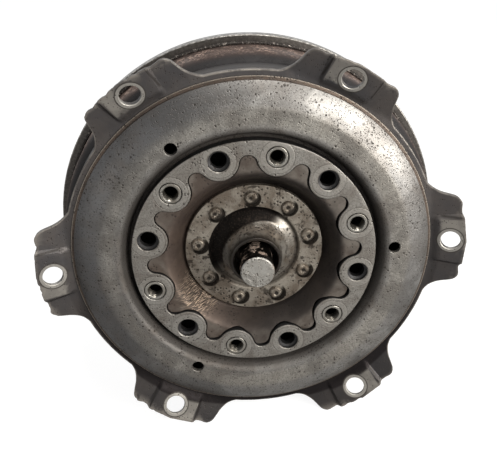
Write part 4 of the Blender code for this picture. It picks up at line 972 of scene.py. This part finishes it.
# Sleeves: six threaded bushes of bright steel, pressed flush into every other hole of the ring.
sleeve_bore, thread_pitch = 0.00425, 0.00125
threads = []
for k in range(5):
    crest = ring_back - 0.0007 - k * thread_pitch
    threads += [(sleeve_bore, crest, 0), (sleeve_bore + 0.0005, crest - thread_pitch / 2, 0)]
sleeves = turned("ring_sleeves", [
    (sleeve_bore + 0.0009, ring_face + 0.0001, 0.0002), (sleeve_r, ring_face + 0.0001, 0.0006),
    (sleeve_r, ring_back, 0.0003), (sleeve_bore + 0.0005, ring_back, 0), *threads,
    (sleeve_bore, ring_face + 0.0012, 0)], steps=56, sharp=40)
bush_steel, tree, shader, place = metal("bush_steel", 0.88)
film = stains(tree, place, 120.0, 0.38, 0.16)
pits = pitting(tree, place, 900.0, 0.52, 0.8)
bush = group(tree, nearest_group, Vector=place, Count=6.0, Circle=bolt_circle, First=1 / 24)
# Painted shade in the gap round each sleeve's rim and down its bore.
rim_dark = span(tree, bush["Distance"], 0.0063, 0.0068)
throat = span(tree, bush["Distance"], 0.0052, 0.0046)
colour = blend(tree, film, (0.400, 0.390, 0.365), (0.240, 0.222, 0.195))
colour = layered(tree, colour, [
    (rim_dark, 0.85, (0.040, 0.035, 0.032)),
    (throat, 0.85, (0.060, 0.056, 0.048)),
    (pits, 0.7, (0.040, 0.033, 0.029))])
paint(tree, shader, colour, span(tree, film, 0.0, 1.0, 0.26, 0.42))
relief(tree, shader, (film, 0.00006), (pits, -0.00010))
grown(sleeves, round_tree, sharp=40, Count=6, Circle=bolt_circle, First=math.radians(15), Wobble=0.0, Seed=2,
      Material=bush_steel)
dressed(sleeves, bush_steel, "bright_steel", "housing", *[f"bolt_sleeve_{i}" for i in range(1, 7)])


# Crank spigot: the turned stub that centres the converter in the crankshaft. Its end is bare
# and pitted, and its flank is black with oil, with painted copper glints on it.
spigot_low, spigot_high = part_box("crank_spigot")
spigot_r, spigot_foot_r = 0.0108, spigot_high.x
spigot = turned("crank_stub", [(0, spigot_low.y, 0), (spigot_r - 0.0008, spigot_low.y, 0.0003),
    (spigot_r, spigot_low.y + 0.0009, 0.0004), (spigot_r, spigot_high.y - 0.0022, 0), (spigot_foot_r,
    spigot_high.y - 0.0022, 0.0005), (spigot_foot_r, spigot_high.y, 0), (0, spigot_high.y, 0)], steps=128)
spigot_steel, tree, shader, place = metal("spigot_steel", 0.80)
split = axes(tree, place)
flank = span(tree, split["Y"], 0.0004, 0.0012)
film = stains(tree, place, 130.0, 0.45, 0.16)
# Painted glints: bright copper patches on the black oily flank.
painted_copper_glints = stains(tree, place, 150.0, 0.36, 0.05)
pits = pitting(tree, place, 700.0, 0.82, 0.8)
end_face = blend(tree, film, (0.430, 0.425, 0.410), (0.290, 0.280, 0.262))
end_face = blend(tree, times(tree, pits, 0.8), end_face, (0.070, 0.060, 0.052))
side = blend(tree, painted_copper_glints, (0.012, 0.011, 0.010), (1.0, 0.800, 0.680))
paint(tree, shader, blend(tree, flank, end_face, side), blend(tree, flank, (0.46, 0.46, 0.46),
    (0.24, 0.24, 0.24)))
relief(tree, shader, (painted_copper_glints, 0.00016), (pits, -0.00012))
dressed(spigot, spigot_steel, "spigot_steel", "housing", "crank_spigot")


# Impeller shell: the rear half of the housing, drawn from 3.5 mm sheet in the shape of half a
# torus. Its turned rim takes the cover's edge, and the two are joined by one round weld.
rim_low, rim_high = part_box("impeller_shell")
rim_r, shell_t = rim_high.x, 0.0035
rim_face, rim_w = rim_low.y + 0.0025, 0.0100
torus_r, torus_half, torus_depth, torus_y = 0.0840, 0.0340, 0.0260, cover_back + 0.0050
shell_flat = torus_y + torus_depth * math.sin(math.radians(135))
hub_disc_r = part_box("impeller_hub")[1].x
outside, inside_wall = [], []
for k in range(25):
    angle = math.radians(18 + (132 - 18) * k / 24)
    outside.append((torus_r + (torus_half + shell_t) * math.cos(angle),
                    torus_y + (torus_depth + shell_t) * math.sin(angle), 0))
    angle = math.radians(135 - 135 * k / 24)
    inside_wall.append((torus_r + torus_half * math.cos(angle), torus_y + torus_depth * math.sin(angle), 0))
seat_r = cover_r + 0.0003
impeller_shell = turned("impeller_shell_drawn", [(seat_r, rim_face, 0), (rim_r, rim_face, 0.0008),
    (rim_r, rim_face + rim_w - 0.0006, 0.0018), (rim_r - 0.0024, rim_face + rim_w, 0.0006),
    (torus_r + torus_half + 2 * shell_t, rim_face + rim_w, 0.0020), *outside, (hub_disc_r + 0.0003,
    shell_flat + shell_t, 0.0004), (hub_disc_r + 0.0003, shell_flat, 0), *inside_wall,
    (torus_r + torus_half, cover_back + 0.0003, 0), (seat_r, cover_back + 0.0003, 0)], steps=240, sharp=40)
shell_steel, tree, shader, place = metal("shell_drawn_steel", 0.85)
marks = group(tree, marks_group, Vector=place, Pitch=700.0)
clouds = stains(tree, place, 12.0, 0.45, 0.22)
brown = stains(tree, place, 50.0, 0.34, 0.14)
pits = pitting(tree, place, 900.0, 0.50, 0.7)
height = axes(tree, place)["Y"]
rim = times(tree, span(tree, marks["Radius"], 0.1262, 0.1275), span(tree, height, 0.0905, 0.0885))
rim_dark = times(tree, span(tree, marks["Radius"], 0.1318, 0.1312), span(tree, height, 0.0812, 0.0806))
front_band = span(tree, height, rim_face + 0.0062, rim_face + 0.0050)
scale_specks = stains(tree, place, 520.0, 0.46, 0.08)
heat = times(tree, span(tree, marks["Radius"], 0.060, 0.043), span(tree, height, 0.100, 0.104))
colour = blend(tree, clouds, (0.300, 0.300, 0.305), (0.225, 0.228, 0.235))
colour = layered(tree, colour, [
    (brown, 0.4, (0.160, 0.125, 0.100)),
    (heat, 0.6, (0.130, 0.125, 0.150)),
    (rim, 1, blend(tree, brown, (0.400, 0.400, 0.395), (0.240, 0.222, 0.200))),
    (times(tree, rim, front_band), 0.92, blend(tree, scale_specks, (0.200, 0.192, 0.184), (0.560, 0.545,
        0.520))),
    (rim_dark, 0.9, (0.075, 0.069, 0.065)),
    (pits, 0.7, (0.045, 0.038, 0.034))])
paint(tree, shader, colour, span(tree, clouds, 0.0, 1.0, 0.34, 0.48))
relief(tree, shader, (marks["Height"], 0.00005), (pits, -0.00008))
dressed(impeller_shell, shell_steel, "shell_steel", "housing", "impeller_shell")


# Welds: the round seam between cover and rim, and the one that holds the hub's disc in the
# shell. Both are laid in one pass, with even ripples and a little dark scale and spatter.
weld_tree, given, out = geometry_tree("weld_bead", {
    "Radius": "NodeSocketFloat", "Station": "NodeSocketFloat", "Bead": "NodeSocketFloat",
    "Ripples": "NodeSocketInt", "Ripple Depth": "NodeSocketFloat", "Seed": "NodeSocketFloat",
    "Material": "NodeSocketMaterial"})
seam = put(weld_tree, "GeometryNodeCurvePrimitiveCircle", {"Resolution": times(weld_tree, given["Ripples"],
    4.0), "Radius": given["Radius"]})
place_on = put(weld_tree, "GeometryNodeInputPosition").outputs[0]
flat = axes(weld_tree, place_on)
upright = put(weld_tree, "ShaderNodeCombineXYZ", {0: flat["X"], 1: given["Station"], 2: flat["Y"]})
stood = put(weld_tree, "GeometryNodeSetPosition", {"Geometry": seam.outputs[0],
    "Position": upright.outputs[0]})
point = put(weld_tree, "GeometryNodeInputIndex").outputs[0]
wave = calc(weld_tree, "SINE", times(weld_tree, point, math.pi / 2))
drift = put(weld_tree, "ShaderNodeTexNoise", {"Vector": place_on, "W": given["Seed"], "Scale": 90.0},
            noise_dimensions="4D").outputs[0]
swell = plus(weld_tree, 0.82, plus(weld_tree, times(weld_tree, wave, given["Ripple Depth"]),
    times(weld_tree, drift, 0.30)))
rippled = put(weld_tree, "GeometryNodeSetCurveRadius", {"Curve": stood.outputs[0], "Radius": swell})
round_bead = put(weld_tree, "GeometryNodeCurvePrimitiveCircle", {"Resolution": 10, "Radius": given["Bead"]})
bead = put(weld_tree, "GeometryNodeCurveToMesh",
           {"Curve": rippled.outputs[0], "Profile Curve": round_bead.outputs[0], "Scale": swell})
close_tree(weld_tree, given, out, bead.outputs[0])

weld_steel, tree, shader, place = metal("weld_bead_steel", 0.80)
film = stains(tree, place, 620.0, 0.72, 0.08)
colour = blend(tree, film, (0.330, 0.300, 0.280), (0.040, 0.036, 0.034))
paint(tree, shader, colour, span(tree, film, 0.0, 1.0, 0.42, 0.62))
relief(tree, shader, (film, 0.00010))
for weld_name, radius, station, bead_r, ripples in (
        ("cover_weld", cover_r + 0.0009, rim_face - 0.0004, 0.0012, 620),
        ("hub_weld", hub_disc_r + 0.0006, shell_flat + shell_t - 0.0002, 0.0016, 110)):
    weld = finished(weld_name, bmesh.new())
    grown(weld, weld_tree, sharp=60, Radius=radius, Station=station, Bead=bead_r, Ripples=ripples,
          Ripple_Depth=0.10, Seed=3.0, Material=weld_steel)
    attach(weld, "housing")


# Impeller hub: the ground neck that runs in the pump's bush and drives it by two slots.
# It isn't seen in the photograph, and is bright, as such necks are.
neck_low, neck_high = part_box("impeller_hub")
neck_r, neck_bore = 0.0220, 0.0175
disc_back = neck_low.y + 0.0049
neck_end = neck_high.y
impeller_hub = turned("pump_neck", [
    (neck_bore, neck_low.y, 0.0004), (hub_disc_r, neck_low.y, 0.0004), (hub_disc_r, disc_back, 0.0004),
    (neck_r + 0.0002, disc_back, 0.0042), (neck_r, neck_end, 0.0012), (neck_bore, neck_end, 0.0008)],
    steps=160)
slots = bmesh.new()
slot_size = Matrix.Diagonal((3 * neck_r, 2 * 0.0090, 0.0090, 1))
bmesh.ops.create_cube(slots, size=1, matrix=Matrix.Translation((0, neck_end, 0)) @ slot_size)
slot_tool = finished("slots", slots)
milled = impeller_hub.modifiers.new("slots", "BOOLEAN")
milled.operation = "DIFFERENCE"
milled.solver = "EXACT"
milled.object = slot_tool
rounding = impeller_hub.modifiers.new("edges", "BEVEL")
rounding.width = 0.0003
rounding.segments = 2
rounding.limit_method = "ANGLE"
rounding.angle_limit = math.radians(50)
settled(impeller_hub, 40)
bpy.data.objects.remove(slot_tool)
ground, tree, shader, place = metal("ground_steel", 0.95)
marks = group(tree, marks_group, Vector=place, Pitch=2600.0)
film = stains(tree, place, 60.0, 0.34, 0.2)
height = axes(tree, place)["Y"]
run_band = times(tree, span(tree, height, 0.116, 0.117), span(tree, height, 0.137, 0.136))
colour = blend(tree, film, (0.520, 0.520, 0.525), (0.380, 0.372, 0.360))
colour = blend(tree, times(tree, run_band, 0.5), colour, (0.640, 0.640, 0.645))
paint(tree, shader, colour, span(tree, marks["Height"], 0.3, 0.7, 0.18, 0.30))
relief(tree, shader, (marks["Height"], 0.00002))
dressed(impeller_hub, ground, "bright_steel", "housing", "impeller_hub")


# Inside: vanes, turbine, damper, piston, clutch, bearings and stator, sealed in the housing.
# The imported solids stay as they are, and each kind gets the finish that it has when new.
def inner_metal(name, first, second, metallic, rough, pitch, scale):
    """Clean oiled metal with faint marks and a thin film of oil."""
    material, tree, shader, place = metal(name, metallic)
    film = stains(tree, place, scale, 0.45, 0.2)
    marks = group(tree, marks_group, Vector=place, Pitch=pitch)
    tree.links.new(blend(tree, film, first, second), shader.inputs["Base Color"])
    tree.links.new(span(tree, marks["Height"], 0.25, 0.75, rough - 0.06, rough + 0.08),
        shader.inputs["Roughness"])
    relief(tree, shader, (marks["Height"], 0.00003))
    return material


inner_finishes = {"plain_steel": inner_metal("pressed_steel", (0.42, 0.42, 0.42), (0.32, 0.31, 0.29), 0.95,
    0.34, 900.0, 40.0), "bright_steel": inner_metal("ground_race_steel", (0.56, 0.56, 0.57),
    (0.46, 0.45, 0.43), 1.0, 0.22, 2400.0, 70.0), "spring_steel": inner_metal("blued_spring_steel",
    (0.16, 0.17, 0.21), (0.10, 0.10, 0.12), 0.95, 0.30, 3000.0, 90.0),
    "cast_aluminium": inner_metal("cast_aluminium", (0.62, 0.62, 0.63), (0.50, 0.50, 0.50), 0.9, 0.46,
    500.0, 160.0), "friction_paper": inner_metal("friction_paper", (0.17, 0.12, 0.08), (0.11, 0.08, 0.055),
    0.0, 0.88, 1800.0, 220.0), "seal_plastic": inner_metal("seal_plastic", (0.035, 0.035, 0.037),
    (0.055, 0.053, 0.050), 0.0, 0.50, 2600.0, 300.0)}
for part in frame["record"]["subparts"]:
    packed = frame["nodes"][part["node"]]
    if part["material_slot"] in inner_finishes and not packed.hide_render:
        packed.data.materials.clear()
        packed.data.materials.append(inner_finishes[part["material_slot"]])
